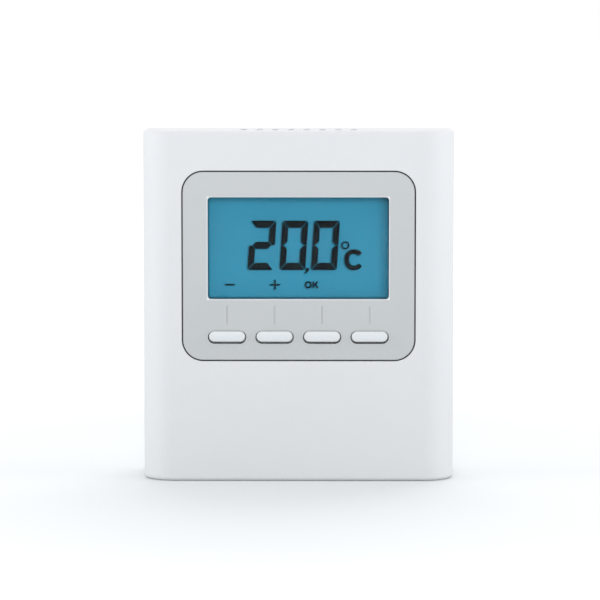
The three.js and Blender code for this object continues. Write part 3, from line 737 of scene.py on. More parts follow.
def labelLook(spans):
    tint = labelTint
    look = Look("labelPaper")
    frameLine = abs(look.outsideOf(spans[0], spans[2]) + tint["inset"]) < tint["line"]
    fibres = look.mottle(0.35, 5.0, 0.6, look.stretched(0.3, 1, 1))
    paper = look.mixed(shade(*tint["fibre"]), shade(*tint["paper"]), fibres)
    colour = look.mixed(paper, shade(*tint["frame"]), frameLine)
    normal = look.relief(fibres, 0.01, 0.4)
    return look.finished(look.surface(colour=colour, roughness=0.6 + fibres * 0.1, normal=normal))


# A backlight lamp: white body, yellow phosphor.
lampTint = {"body": (236, 238, 238), "phosphor": (222, 214, 120), "x": 26.85, "z": 60, "window": (0.4, 1.2)}


def lampLook():
    tint = lampTint
    look = Look("lampBody")
    cloud = look.mottle(0.5, 3.0)
    offX = abs(abs(look.axis("X")) * 1000 - tint["x"])
    offZ = abs(look.axis("Z") * 1000 - tint["z"])
    window = (offX < tint["window"][0]) * (offZ < tint["window"][1])
    colour = look.mixed(shade(*tint["body"]), shade(*tint["phosphor"]), window)
    return look.finished(look.surface(colour=colour, roughness=0.3 + cloud * 0.1, coat=0.3 + window * 0.3))


def makeFinishes(opening, labelSpans, batteries):
    looks = {name: plasticLook(name) for name in plasticTints}
    looks.update({name: sheetLook(name) for name in sheetTints})
    looks.update({name: boardLook(name) for name in boardTints})
    looks.update({name: metalLook(name) for name in metalTints})
    looks["clearPane"] = paneLook()
    looks["bezelPaint"] = bezelPaintLook(opening)
    looks["lightGuide"] = lightGuideLook(opening)
    looks.update({name: figureLook(name) for name in figureTints})
    looks["labelPaper"] = labelLook(labelSpans)
    looks["lampBody"] = lampLook()
    for name, (plusX, side) in batteries.items():
        looks[name] = jacketLook(name, plusX, side)
    return looks


cover = {
    "corner": 8,
    "rearCorner": 1.2,
    "edge": 0.7,
    "footEdge": 1.1,
    "wall": 2,
    "rearEdge": 0.25,
    "lip": 0.22,
}
coverSpan = spanOf("front_cover")
plateSpan = spanOf("wall_plate")
bezelSpan = spanOf("front_bezel")
bezelTrim = ((0.42, -0.27), (0, 0), (0.4, -0.36))  # how far the painted face stops short of the frame's node
bezelSpan = [[low + trim[0], high + trim[1]] for (low, high), trim in zip(bezelSpan, bezelTrim)]
bezelCorner = 5.2
lensSpan = spanOf("window_lens")
sheetSpan = spanOf("rear_cover")
halfWidth = coverSpan[0][1]
coverHeight = coverSpan[2][1]
coverBack = coverSpan[1][1]

view = {"margin": 1.5, "corner": 0.8, "lip": 0.28}  # the display opening, inside the lens's edge
viewX = (lensSpan[0][0] + view["margin"], lensSpan[0][1] - view["margin"])
viewZ = (lensSpan[2][0] + view["margin"], lensSpan[2][1] - view["margin"])
viewCentre = (middleOf(viewX), middleOf(viewZ))

looks = makeFinishes(
    (viewX, viewZ),
    spanOf("rating_label"),
    {"upperJacket": (spanOf("battery_upper")[0][1], 1), "lowerJacket": (spanOf("battery_lower")[0][0], -1)},
)
print("finishes made")


def boxOutline(spans, corner, steps=8):
    width, height = sizeOf(spans[0]), sizeOf(spans[2])
    centre = (middleOf(spans[0]), middleOf(spans[2]))
    return lambda grow: roundedOutline(width, height, corner, centre, grow, steps)


# The case seen from above. Each of front and rear is (depth, corner radius, follows the inset).
def planOutline(inset, front, rear, steps=18):
    outline = []
    corners = ((front, 1, 1, -90), (rear, 1, -1, 0), (rear, -1, -1, 90), (front, -1, 1, 180))
    for (depth, corner, follows), side, inwards, start in corners:
        radius = corner - inset if follows else corner
        centreX = side * (halfWidth - corner - (0 if follows else inset))
        centreDepth = depth + inwards * corner
        for k in range(steps + 1):
            turn = math.radians(start + 90 * k / steps)
            outline.append((centreX + radius * math.cos(turn), centreDepth + radius * math.sin(turn)))
    return withoutRepeats(outline)




vents = {"count": 8, "width": 1.6, "length": 11, "pitch": 4.08, "setBack": 6, "lip": 0.3}
pocket = {"gap": 0.3, "back": 2.5, "ledge": 1.9, "ledgeBack": 3.7, "rim": 2.0}
bosses = {"radius": 3, "hole": 1.3, "x": 34, "z": (7, 83), "back": 18.2, "holeFront": 11.05}
posts = {"radius": 2, "hole": 1.05, "x": 28.5, "z": (7.2, 81), "back": 8.25, "holeFront": 3.9}


def cornersOf(places):
    return [(side * places["x"], z) for side in (-1, 1) for z in places["z"]]


def ventCutters():
    width, length = vents["width"], vents["length"]
    centre = (-(vents["count"] - 1) / 2 * vents["pitch"], vents["setBack"] + length / 2)
    wall, outerLip, innerLip = cover["wall"], vents["lip"], vents["lip"] * 0.6

    def outline(grow):
        return roundedOutline(width, length, width / 2, centre, grow, 8)

    def row(name, rows):
        return copiesOf(name, column("ventSlot", outline, rows), vents["count"], 1, vents["pitch"], 1)

    below = row("ventsBelow", mouthRows(0, wall, outerLip, innerLip))
    above = row("ventsAbove", mouthRows(coverHeight - wall, coverHeight, innerLip, outerLip))
    return [below, above]


# A round pillar that stands on the cover's front wall, for a screw.
def pillar(size, place, edge):
    radius, back = size["radius"], size["back"]
    rows = [(cover["wall"] - 0.1, radius), (back - edge, radius), (back, radius - edge)]
    return turned("pillar", rows, place)


def pillarHole(size, place):
    hole, back, flare = size["hole"], size["back"], 0.3
    rows = [(size["holeFront"], hole), (back - flare, hole)]
    rows += [(back + 0.01, hole + flare), (back + 4, hole + flare)]
    return turned("screwHole", rows, place, sides=28)


def makeFrontCover():
    front, rear = (0, cover["corner"], True), (coverBack, cover["rearEdge"], False)
    rows = slabRows(0, coverHeight, cover["footEdge"], cover["edge"], 6)
    shell = column("frontCover", lambda grow: planOutline(-grow, front, rear), rows)
    wall = cover["wall"]
    hollow = column(
        "coverHollow",
        lambda grow: planOutline(wall - grow, front, (coverBack + 8, 0.6, False)),
        slabRows(wall, coverHeight - wall, 0.3, 0.3),
    )
    shaped(shell, [hollow])
    outline = boxOutline(bezelSpan, bezelCorner, 12)
    rimRows = slabRows(wall - 0.1, pocket["ledgeBack"], 0, 0.2)
    pillars = [pillar(bosses, place, 0.2) for place in cornersOf(bosses)]
    pillars += [pillar(posts, place, 0.15) for place in cornersOf(posts)]
    joined(shell, [slab("pocketRim", lambda grow: outline(grow + pocket["rim"]), rimRows)] + pillars)
    gap, ledge = pocket["gap"], pocket["ledge"]
    cutters = [
        slab("pocketCut", lambda grow: outline(gap + grow), mouthRows(0, pocket["back"] - 1, cover["lip"])),
        slab("ledgeCut", lambda grow: outline(-ledge + grow), mouthRows(1, pocket["ledgeBack"], 0, 0.15)),
    ]
    cutters += [pillarHole(size, place) for size in (bosses, posts) for place in cornersOf(size)]
    shaped(shell, cutters + ventCutters())
    finishPiece(shell, looks["coverPlastic"], nodes=["front_cover"])


keys = {
    "names": ("minus", "plus", "ok", "menu"),
    "height": 2.7,
    "gap": 0.29,
    "sag": 0.25,  # the gap is wider below a key than above it
    "holeLip": 0.1,
    "flange": 0.99,
    "flangeGap": 0.15,
    "flangeDepth": 0.8,
    "crown": 0.32,
    "round": 0.42,
    "stem": 1.3,
}
guideLines = {"width": 0.36, "depth": 0.13, "span": (40.6, 45.2)}
tapeLip = {"reach": 0.26, "front": 0.7, "opening": 1.6}  # its black edge stands up in the bezel's gap
keySpans = {name: spanOf(name + "_button") for name in keys["names"]}
keyXs = [middleOf(keySpans[name][0]) for name in keys["names"]]
keyZ = middleOf(keySpans["ok"][2])
keyWidth = sizeOf(keySpans["ok"][0]) - 2 * keys["flange"]
keyPitch = keyXs[1] - keyXs[0]


def keyOutline(x, steps=14, drop=0.0):
    centre = (x, keyZ - drop)
    return lambda grow: roundedOutline(keyWidth, keys["height"], keys["height"] / 2, centre, grow, steps)


def makeBezel():
    front, back = bezelSpan[1]
    outline = boxOutline(bezelSpan, bezelCorner, 14)
    face = slab("frontBezel", outline, slabRows(front, back, 0.22, 0.1, 5))

    def opening(grow):
        return roundedOutline(sizeOf(viewX), sizeOf(viewZ), view["corner"], viewCentre, grow, 8)

    def holeOutline(grow):
        return keyOutline(keyXs[0], drop=keys["sag"])(grow + keys["gap"])

    holeRows = mouthRows(front, back, keys["holeLip"], 0, 5)
    reach = guideLines["width"] / 2
    depths = (front - 1, front + guideLines["depth"])
    line = softBlock("guideLine", ((keyXs[0] - reach, keyXs[0] + reach), depths, guideLines["span"]), 0.12, 4)
    lensRows = [(lensSpan[1][0] - 0.05, 0), (back + 1, 0)]
    cutters = [
        slab("windowCut", opening, mouthRows(front, back, view["lip"], 0, 6)),
        slab("lensPocket", lambda grow: opening(grow + view["margin"] + 0.2), lensRows),
        copiesOf("keyHoles", slab("keyHole", holeOutline, holeRows), len(keyXs), 1, keyPitch, 1),
        copiesOf("guideLines", line, len(keyXs), 1, keyPitch, 1),
    ]
    shaped(face, cutters)
    finishPiece(face, looks["bezelPaint"], nodes=["front_bezel"])

    corner = view["corner"] + view["margin"]
    lens = slab("windowLens", boxOutline(lensSpan, corner), slabRows(*lensSpan[1], 0.08, 0.08))
    finishPiece(lens, looks["clearPane"], nodes=["window_lens"])

    tapeFront, tapeBack = spanOf("bezel_adhesive")[1]
    lipFront = tapeLip["front"]
    tapeRows = slabRows(lipFront, tapeBack, 0.05, 0.04)
    tape = slab("bezelTape", lambda grow: outline(grow + tapeLip["reach"]), tapeRows)
    rooms = ((0.03, tapeFront), (-tapeLip["opening"], tapeBack + 1))  # the bezel's, then the opening
    cutters = []
    for inset, depth in rooms:
        rows = [(lipFront - 1, 0), (depth, 0)]
        cutters.append(slab("tapeRoom", lambda grow, inset=inset: outline(grow + inset), rows))
    shaped(tape, cutters)
    finishPiece(tape, looks["foamRubber"], nodes=["bezel_adhesive"])


# Rows of a key: a gently crowned top, a round edge, straight sides and the flange behind the bezel.
def keyRows(front, flangeFront, flangeBack):
    steps, edge, flange = 6, keys["round"], keys["flange"]
    reach = keys["height"] / 2
    rows = []
    for k in range(steps + 1):
        inwards = reach - 0.1 - (reach - 0.1 - edge) * k / steps
        rows.append((front + keys["crown"] * 0.35 * (1 - inwards / reach) ** 2, -inwards))
    start = rows[-1][0]
    for k in range(1, steps + 1):
        turn = math.radians(90 * k / steps)
        rows.append((start + edge * (1 - math.cos(turn)), edge * (math.sin(turn) - 1)))
    soft = 0.08
    rows += [(flangeFront, 0), (flangeFront, flange - soft), (flangeFront + soft, flange)]
    return rows + [(flangeBack - soft, flange), (flangeBack, flange - soft)]


def makeKeys():
    for name, x in zip(keys["names"], keyXs):
        front, back = keySpans[name][1]
        flangeFront = bezelSpan[1][1] + keys["flangeGap"]
        flangeBack = flangeFront + keys["flangeDepth"]
        cap = slab(name + "Key", keyOutline(x, 16), keyRows(front, flangeFront, flangeBack))
        radius = keys["stem"]
        rows = [(flangeBack - 0.2, radius), (back - 0.1, radius), (back, radius - 0.1)]
        joined(cap, [turned("stem", rows, (x, keyZ))])
        body = name + "_key"
        finishPiece(cap, looks["buttonPlastic"], body, [name + "_button"], 40)

        across, (near, far), heights = spanOf(name + "_switch_plunger")
        radius = sizeOf(across) / 2 + 0.03
        rows = [(near, radius - 0.25), (near + 0.25, radius), (far - 0.12, radius), (far, radius - 0.12)]
        plunger = turned(name + "Plunger", rows, (x, keyZ))
        finishPiece(plunger, looks["chipPlastic"], body, [name + "_switch_plunger"])


# Four tactile switches: a body under a stamped lid with a round pocket, and four legs each.
switch = {
    "side": 6,
    "lid": 0.5,
    "pocket": 1.3,
    "pocketRadius": 1.85,
    "leg": 0.6,
    "legDepth": 1.6,
    "legRise": 0.35,
}


def makeSwitches():
    names = [name + "_switch" for name in keys["names"]]
    across, (front, back), heights = spanOf(names[0])
    x = middleOf(across)

    def square(half):
        return (x - half, x + half), (keyZ - half, keyZ + half)

    half = switch["side"] / 2
    (spanX, spanZ), (lidX, lidZ) = square(half), square(half - 0.1)
    body = softBlock("tactSwitch", (spanX, (front + 0.25, back), spanZ), 0.25)
    joined(body, [softBlock("lid", (lidX, (front, front + switch["lid"]), lidZ), 0.12)])
    legs = []
    for side, end in ((-1, across[0]), (1, across[1])):
        legX = sorted((x + side * (half - 0.2), end))
        for rise in (-1, 1):
            legZ = keyZ + rise * switch["legRise"] * switch["side"]
            legSpan = (legZ - switch["leg"] / 2, legZ + switch["leg"] / 2)
            legs.append(softBlock("leg", (legX, (back - switch["legDepth"], back), legSpan), 0.12))
    joined(body, legs)
    rows = mouthRows(front, front + switch["pocket"] - 1, 0.1)
    rows = [(depth, switch["pocketRadius"] + grow) for depth, grow in rows]
    shaped(body, [turned("pocket", rows, (x, keyZ))])
    four = copiesOf("tactSwitches", body, len(keyXs), 1, keyPitch, 1)
    finishPiece(four, looks["platedSteel"], nodes=names)


figures = {
    "slant": math.tan(math.radians(3.7)),
    "base": 54.2,
    "height": 12.7,
    "width": 6.65,
    "upright": 1.62,
    "flat": 1.85,
    "gap": 0.11,
    "chamfer": 0.28,
    "places": (-13.1, -4.9, 3.2),
    "shown": ("abged", "abcdef", "abcdef"),
    "depth": (3.712, 3.738),
    "shadow": {"shift": (-0.36, -0.28), "depths": (5.012, 5.038)},  # what the lit figures throw on the guide
}


# One of the seven bars of a figure, before it is slanted.
def barOf(letter):
    width, height, upright, flat = figures["width"], figures["height"], figures["upright"], figures["flat"]
    gap, chamfer, middle = figures["gap"], figures["chamfer"], figures["height"] / 2
    if letter == "g":
        tip = upright / 2 + gap
        inner = upright + gap
        half = [(inner, middle + flat / 2), (tip, middle), (inner, middle - flat / 2)]
        return half + [(width - x, z) for x, z in reversed(half)]
    if letter in "ad":
        half = [(chamfer + gap, height), (chamfer / 2 + gap, height - chamfer / 2)]
        half.append((upright + gap, height - flat))
        points = half + [(width - x, z) for x, z in reversed(half)]
        return points if letter == "a" else [(x, height - z) for x, z in points]
    points = [
        (0, height - chamfer - gap),
        (0, middle + gap * 0.6),
        (upright / 2, middle + gap * 0.6),
        (upright, middle + flat / 2 + gap * 0.5),
        (upright, height - flat - gap),
        (chamfer / 2, height - chamfer / 2 - gap),
    ]
    if letter in "bc":
        points = [(width - x, z) for x, z in points]
    return points if letter in "fb" else [(x, height - z) for x, z in points]


# A stroke of even width along a path, as four-cornered pieces that meet on the path.
def strokeOf(path, width, closed=False):
    sides = []
    for k, (x, z) in enumerate(path):
        before = path[k - 1] if closed or k > 0 else path[k]
        after = path[(k + 1) % len(path)] if closed or k < len(path) - 1 else path[k]
        dx, dz = after[0] - before[0], after[1] - before[1]
        length = math.hypot(dx, dz)
        nx, nz = -dz / length * width / 2, dx / length * width / 2
        sides.append(((x + nx, z + nz), (x - nx, z - nz)))
    ends = sides[1:] + sides[:1] if closed else sides[1:]
    return [[one[0], other[0], other[1], one[1]] for one, other in zip(sides, ends)]


def ovalPath(centre, radii, start, end, steps, squareness=1.0):
    path = []
    for k in range(steps + 1):
        turn = math.radians(start + (end - start) * k / steps)
        x = math.copysign(abs(math.cos(turn)) ** squareness, math.cos(turn))
        z = math.copysign(abs(math.sin(turn)) ** squareness, math.sin(turn))
        path.append((centre[0] + radii[0] * x, centre[1] + radii[1] * z))
    return path


# The generic signs beside the figures: a comma, a degree sign, C, minus, plus and OK.
signs = {
    "line": 0.42,
    "thinLine": 0.41,
    "comma": (
        (1.85, 54.72),
        (2.75, 54.72),
        (2.75, 54.1),
        (2.05, 53.3),
        (1.5, 53.3),
        (1.95, 54.0),
        (1.85, 54.1),
    ),
    "degree": {"centre": (12.05, 60.55), "radii": (0.86, 0.86), "line": 0.39},
    "letterC": {"centre": (14.3, 56.85), "radii": (1.92, 2.1), "from": 36, "to": 324, "line": 1.22},
    "letterO": {"centre": (2.54, 50.38), "radii": (0.68, 0.74)},
    "strokes": (
        ((-18.8, 50.42), (-16.3, 50.42)),
        ((-7.3, 50.4), (-4.7, 50.4)),
        ((-6.0, 51.7), (-6.0, 50.61)),
        ((-6.0, 50.19), (-6.0, 49.1)),
    ),
    "letterK": (
        ((3.82, 49.48), (3.82, 51.28)),
        ((4.04, 50.24), (5.0, 51.24)),
        ((4.34, 50.52), (5.08, 49.5)),
    ),
}


def figureShapes():
    shapes = []
    base, slant = figures["base"], figures["slant"]
    for start, letters in zip(figures["places"], figures["shown"]):
        for letter in letters:
            shapes.append([(start + x + z * slant, base + z) for x, z in barOf(letter)])
    degree, letterC, letterO = signs["degree"], signs["letterC"], signs["letterO"]
    shapes.append(list(signs["comma"]))
    ring = ovalPath(degree["centre"], degree["radii"], 0, 360, 28)[:-1]
    shapes += strokeOf(ring, degree["line"], True)
    arc = ovalPath(letterC["centre"], letterC["radii"], letterC["from"], letterC["to"], 34, 0.92)
    shapes += strokeOf(arc, letterC["line"])
    for path in signs["strokes"]:
        shapes += strokeOf(path, signs["line"])
    ring = ovalPath(letterO["centre"], letterO["radii"], 0, 360, 28, 0.9)[:-1]
    shapes += strokeOf(ring, signs["line"], True)
    for path in signs["letterK"]:
        shapes += strokeOf(path, signs["thinLine"])
    return shapes


def makeFigures(name, look, depths, shift=(0, 0)):
    corners, faces = [], []
    near, far = depths
    for outline in figureShapes():
        shape = [(x + shift[0], z + shift[1]) for x, z in outline]
        first, count = len(corners), len(shape)
        corners += [at(x, near, z) for x, z in shape] + [at(x, far, z) for x, z in shape]
        faces.append(tuple(first + k for k in range(count)))
        faces.append(tuple(first + count + k for k in range(count)))
        for k in range(count):
            nextK = (k + 1) % count
            faces.append((first + k, first + nextK, first + count + nextK, first + count + k))
    piece = newObject(name, corners, faces)
    work = bmesh.new()
    work.from_mesh(piece.data)
    bmesh.ops.recalc_face_normals(work, faces=work.faces)
    work.to_mesh(piece.data)
    work.free()
    piece.data.materials.append(look)
    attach(piece, "unit")


sheets = {
    "display_front_polariser": ("frontFilm", "polariserFilm", "polariser_film", 0.03),
    "display_front_glass": ("frontGlass", "displayGlass", "display_glass", 0.08),
    "display_rear_glass": ("rearGlass", "displayGlass", "display_glass", 0.08),
    "display_rear_polariser": ("rearFilm", "polariserFilm", "polariser_film", 0.03),
    "display_light_guide": ("lightGuide", "lightGuide", "light_guide", 0.15),
    "display_reflector": ("reflectorFilm", "reflectorFilm", "reflector_film", 0.04),
    "display_contact_strip": ("contactStrip", "foamRubber", "black_foam", 0.2),
    "microcontroller": ("mainChip", "chipPlastic", "chip_plastic", 0.2),
    "memory_chip": ("memoryChip", "chipPlastic", "chip_plastic", 0.15),
    "radio_board": ("radioBoard", "radioCircuitBoard", "radio_circuit_board", 0.12),
    "radio_shield": ("radioShield", "stampedShield", "steel", 0.3),
    "rating_label": ("ratingLabel", "labelPaper", "label_film", 0.04),
}


holder = {"back": 8.2, "x": 26.15, "z": (42.45, 74.95), "lampGap": 0.2, "pegX": 27.2, "pegSetIn": 3.25}


# A span that is wider at both ends.
def widened(span, gap):
    return (span[0] - gap, span[1] + gap)


def makeDisplay():
    for node, (name, look, slotName, edge) in sheets.items():
        block = softBlock(name, spanOf(node), edge)
        finishPiece(block, looks[look], nodes=[node])
    makeFigures("displayFigures", looks["figureInk"], figures["depth"])
    makeFigures("figureShadows", looks["figureShade"], **figures["shadow"])
    across, (front, pegBack), (low, high) = spanOf("display_holder")
    back, gap, inset = holder["back"], holder["lampGap"], holder["pegSetIn"]
    block = softBlock("displayHolder", (across, (front, back), (low, high)), 0.3)
    room = ((-holder["x"], holder["x"]), (front - 2, back + 2), holder["z"])
    cutters = [softBlock("holderInside", room, 0.2)]
    pegs = []
    for end, side in (("Left", -1), ("Right", 1)):
        node = "backlight_led_" + end.lower()
        lamp = spanOf(node)
        room = (widened(lamp[0], gap), (lamp[1][0] - gap, back + 1), widened(lamp[2], gap))
        cutters.append(softBlock("lampRoom", room, 0.15))
        finishPiece(softBlock("lamp" + end, lamp, 0.15), looks["lampBody"], nodes=[node])
        for z in (low + inset, high - inset):
            rows = [(back - 0.2, 0.7), (pegBack - 0.25, 0.7), (pegBack, 0.45)]
            pegs.append(turned("peg", rows, (side * holder["pegX"], z), sides=24))
    shaped(block, cutters)
    joined(block, pegs)
    finishPiece(block, looks["mouldingPlastic"], nodes=["display_holder"])


screws = {
    "caseScrews": {"head": 2.3, "rise": 1.5, "shaft": 1.15, "pitch": 0.8, "node": "case_screw_"},
    "boardScrews": {"head": 1.8, "rise": 1.1, "shaft": 0.9, "pitch": 0.6, "node": "board_screw_"},
}
screwPlaces = {"caseScrews": bosses, "boardScrews": posts}
cross = {"width": 0.6, "reach": 0.62, "depth": 0.8}


# Rows of a screw from its tip: the thread's ridges, the neck and a crowned pan head.
def screwRows(size, tip, top):
    shaft, head, pitch = size["shaft"], size["head"], size["pitch"]
    seat = top - size["rise"]
    rows = [(tip, 0.1), (tip + 0.5, shaft * 0.72)]
    along = tip + 0.5
    while along + pitch < seat - 0.3:
        rows += [(along + pitch * 0.4, shaft * 0.76), (along + pitch * 0.55, shaft)]
        rows += [(along + pitch * 0.68, shaft), (along + pitch * 0.9, shaft * 0.76)]
        along += pitch
    rows += [(seat - 0.05, shaft * 0.8), (seat, shaft * 0.8), (seat, head - 0.1), (seat + 0.1, head)]
    flank = size["rise"] * 0.35
    for k in range(1, 9):
        turn = math.radians(90 * k / 8)
        radius = max(head * math.cos(turn) ** 0.75, 0.05)
        rows.append((seat + flank + (size["rise"] - flank) * math.sin(turn), radius))
    return rows


def makeScrews():
    ends = ("left_bottom", "left_top", "right_bottom", "right_top")
    for name, size in screws.items():
        nodes = [size["node"] + end for end in ends]
        across, (tip, top), heights = spanOf(nodes[0])
        x, z = middleOf(across), middleOf(heights)
        screw = turned("screw", screwRows(size, tip, top), (x, z))
        half, reach = cross["width"] / 2, size["head"] * cross["reach"]
        depths = (top - cross["depth"], top + 1)
        wide = softBlock("crossWide", ((x - reach, x + reach), depths, (z - half, z + half)), 0.12)
        tall = softBlock("crossTall", ((x - half, x + half), depths, (z - reach, z + reach)), 0.12)
        shaped(screw, [wide, tall])
        places = screwPlaces[name]
        low, high = places["z"]
        four = copiesOf(name, screw, 2, 2, 2 * places["x"], high - low)
        finishPiece(four, looks["platedSteel"], nodes=nodes, sharpFrom=38)


board = {"hole": 1.2, "pegHole": 0.9, "pegHoleZ": (44.6, 72.8), "tailRoom": 0.2}


# Cutters for the holes that the two end contacts' tails pass through.
def tailRooms(name, gap, depths):
    rooms = []
    for node in ("positive_contact", "negative_contact"):
        across, inside, heights = spanOf(node)
        middle = middleOf(heights)
        rooms.append(softBlock(name, (widened(across, gap), depths, (middle - 1, middle + 1)), 0.08))
    return rooms


def makeBoard():
    spans = spanOf("main_board")
    sheet = softBlock("mainBoard", spans, 0.1)
    cutters = []
    holes = [(place, board["hole"]) for place in cornersOf(posts)]
    pegs = [(side * holder["pegX"], z) for side in (-1, 1) for z in board["pegHoleZ"]]
    holes += [(place, board["pegHole"]) for place in pegs]
    for place, radius in holes:
        rows = [(depth, radius + grow) for depth, grow in mouthRows(*spans[1], 0.08, 0.08, 2)]
        cutters.append(turned("boardHole", rows, place, sides=28))
    cutters += tailRooms("tailHole", board["tailRoom"], widened(spans[1], 1))
    shaped(sheet, cutters)
    finishPiece(sheet, looks["circuitBoard"], nodes=["main_board"])


# Pins along two sides of each chip.
pins = {"length": 0.7, "width": 0.32, "thickness": 0.15, "setIn": 0.6, "lift": 0.02}


def makePins():
    rows = []
    for node, count in (("microcontroller", 10), ("memory_chip", 4)):
        (left, right), (front, back), (low, high) = spanOf(node)
        step = (high - low - 2 * pins["setIn"]) / (count - 1)
        start, half, near = low + pins["setIn"], pins["width"] / 2, front + pins["lift"]
        for side, edge in ((-1, left), (1, right)):
            reach = sorted((edge - side * 0.2, edge + side * pins["length"]))
            spans = (reach, (near, near + pins["thickness"]), (start - half, start + half))
            pin = softBlock("pin", spans, 0.05, 2)
            rows.append(copiesOf("pinRow", pin, 1, count, 1, step))
    first = rows.pop(0)
    joined(first, rows)
    first.name = "chipPins"
    finishPiece(first, looks["platedSteel"])


def makeCrystal():
    (left, right), depths, heights = spanOf("clock_crystal")
    radius = sizeOf(heights) / 2
    rows = [(left, radius * 0.7), (left, radius * 0.82), (left + 0.3, radius * 0.96), (left + 0.5, radius)]
    rows += [(right - 0.25, radius), (right - 0.08, radius * 0.93), (right, radius * 0.75)]
    can = turned("clockCrystal", rows, (middleOf(depths), middleOf(heights)), "x")
    finishPiece(can, looks["crystalCan"], nodes=["clock_crystal"])


def makeCapacitor():
    across, (front, back), heights = spanOf("storage_capacitor")
    radius = sizeOf(across) / 2
    neck = radius * 0.93
    rows = [(front, radius * 0.9), (front + 0.35, radius), (front + 0.9, radius), (front + 1.05, neck)]
    rows += [(front + 1.3, neck), (front + 1.45, radius), (back - 0.3, radius), (back, radius - 0.3)]
    body = turned("storageCapacitor", rows, (middleOf(across), middleOf(heights)))
    finishPiece(body, looks["chipPlastic"], nodes=["storage_capacitor"])


# A bead on two leads.
def makeSensor():
    across, (front, back), heights = spanOf("temperature_sensor")
    radius, x, z = sizeOf(across) / 2, middleOf(across), middleOf(heights)
    rows = []
    for k in range(17):
        turn = math.radians(2 + 176 * k / 16)
        rows.append((front + radius * (1 - math.cos(turn)), radius * math.sin(turn)))
    bead = turned("temperatureSensor", rows, (x, z))
    rows = [(front + radius, 0.18), (back - 0.05, 0.18), (back, 0.14)]
    leads = [turned("lead", rows, (x + side * radius / 2, z), sides=16) for side in (-1, 1)]
    joined(bead, leads)
    finishPiece(bead, looks["chipPlastic"], nodes=["temperature_sensor"])


def makeElectronics():
    makePins()
    makeCrystal()
    makeCapacitor()
    makeSensor()


windings = {
    "antennaCoil": {
        "node": "antenna_coil",
        "around": "antenna_coil",
        "turns": 5,
        "wire": 0.4,
        "radii": (2.3, 2.3),
        "look": "antennaWire",
        "slot": "antenna_wire",
    },
    "negativeSpring": {
        "node": "negative_spring",
        "around": "battery_upper",
        "turns": 3,
        "wire": 0.35,
        "radii": (3.5, 2.4),
        "look": "platedSteel",
        "slot": "steel",
    },
    "bridgeSpring": {
        "node": "bridge_spring",
        "around": "battery_lower",
        "turns": 3,
        "wire": 0.35,
        "radii": (2.4, 3.5),
        "look": "platedSteel",
        "slot": "steel",
    },
}


def makeWindings():
    for name, size in windings.items():
        along, wire, around = spanOf(size["node"])[0], size["wire"], spanOf(size["around"])
        start = at(along[0] + wire, middleOf(around[1]), middleOf(around[2]))
        values = {"Turns": float(size["turns"]), "Start Radius": size["radii"][0] * unit}
        values.update({"End Radius": size["radii"][1] * unit, "Wire Radius": wire * unit})
        values.update({"Length": (sizeOf(along) - 2 * wire) * unit, "Start": tuple(start)})
        values.update({"Turned": (0.0, math.pi / 2, 0.0), "Finish": looks[size["look"]]})
        coil = pointOutwards(grown(name, coilTree, values))
        finishPiece(coil, looks[size["look"]], nodes=[size["node"]], sharpFrom=60)


cell = {"radius": 5.25, "nub": 1.9, "nubLength": 0.9, "shoulder": 0.6}


# Quarter-round steps at the end of a cell: (way in from the end, radius).
def shoulderSteps():
    steps = []
    for k in range(7):
        turn = math.radians(90 * k / 6)
        inwards = cell["shoulder"] * (1 - math.sin(turn))
        steps.append((inwards, cell["radius"] - cell["shoulder"] * (1 - math.cos(turn))))
    return steps


# side is 1 where the cell's plus end points right.
def makeBattery(node, name, side):
    along, depths, heights = spanOf(node)
    minusEnd, plusEnd = along if side > 0 else (along[1], along[0])
    place = (middleOf(depths), middleOf(heights))
    plusFace = plusEnd - side * cell["nubLength"]
    radius, nub = cell["radius"], cell["nub"]
    rows = [(minusEnd + side * 0.25, radius - 1.0), (minusEnd + side * 0.05, radius - 0.75)]
    rows += [(minusEnd + side * inwards, reach) for inwards, reach in reversed(shoulderSteps())]
    rows += [(plusFace - side * inwards, reach) for inwards, reach in shoulderSteps()]
    rows += [(plusFace - side * 0.05, radius - 0.75), (plusFace - side * 0.3, radius - 1.0)]
    jacket = turned(name + "Jacket", rows, place, "x", 56)
    finishPiece(jacket, looks[name + "Jacket"], nodes=[node])
    base = minusEnd + side * 0.3
    plateRows = [(base - side * 0.2, 3.0), (base - side * 0.3, 3.3)]
    plateRows += [(base - side * 0.05, 4.1), (base + side * 0.4, 4.2)]
    capRows = [(plusFace - side * 0.4, 4.2), (plusFace - side * 0.2, 4.1), (plusFace - side * 0.15, 2.3)]
    capRows += [(plusFace, nub + 0.15), (plusFace + side * 0.15, nub), (plusEnd - side * 0.2, nub)]
    capRows += [(plusEnd - side * 0.03, nub - 0.2), (plusEnd, nub - 0.5)]
    ends = [turned("plate", plateRows, place, "x"), turned("cap", capRows, place, "x")]
    finishPiece(joinedMeshes(name + "CellEnds", ends), looks["platedSteel"], nodes=[])


def makeBatteries():
    makeBattery("battery_upper", "upper", 1)
    makeBattery("battery_lower", "lower", -1)


# Several closed meshes that do not touch, in one object.
def joinedMeshes(name, pieces):
    work = bmesh.new()
    for piece in pieces:
        work.from_mesh(piece.data)
        bpy.data.objects.remove(piece)
    whole = newObject(name, [], [])
    work.to_mesh(whole.data)
    work.free()
    return whole


contacts = {"faceDepth": 9, "tailOverlap": 2, "tailHalf": 0.8}


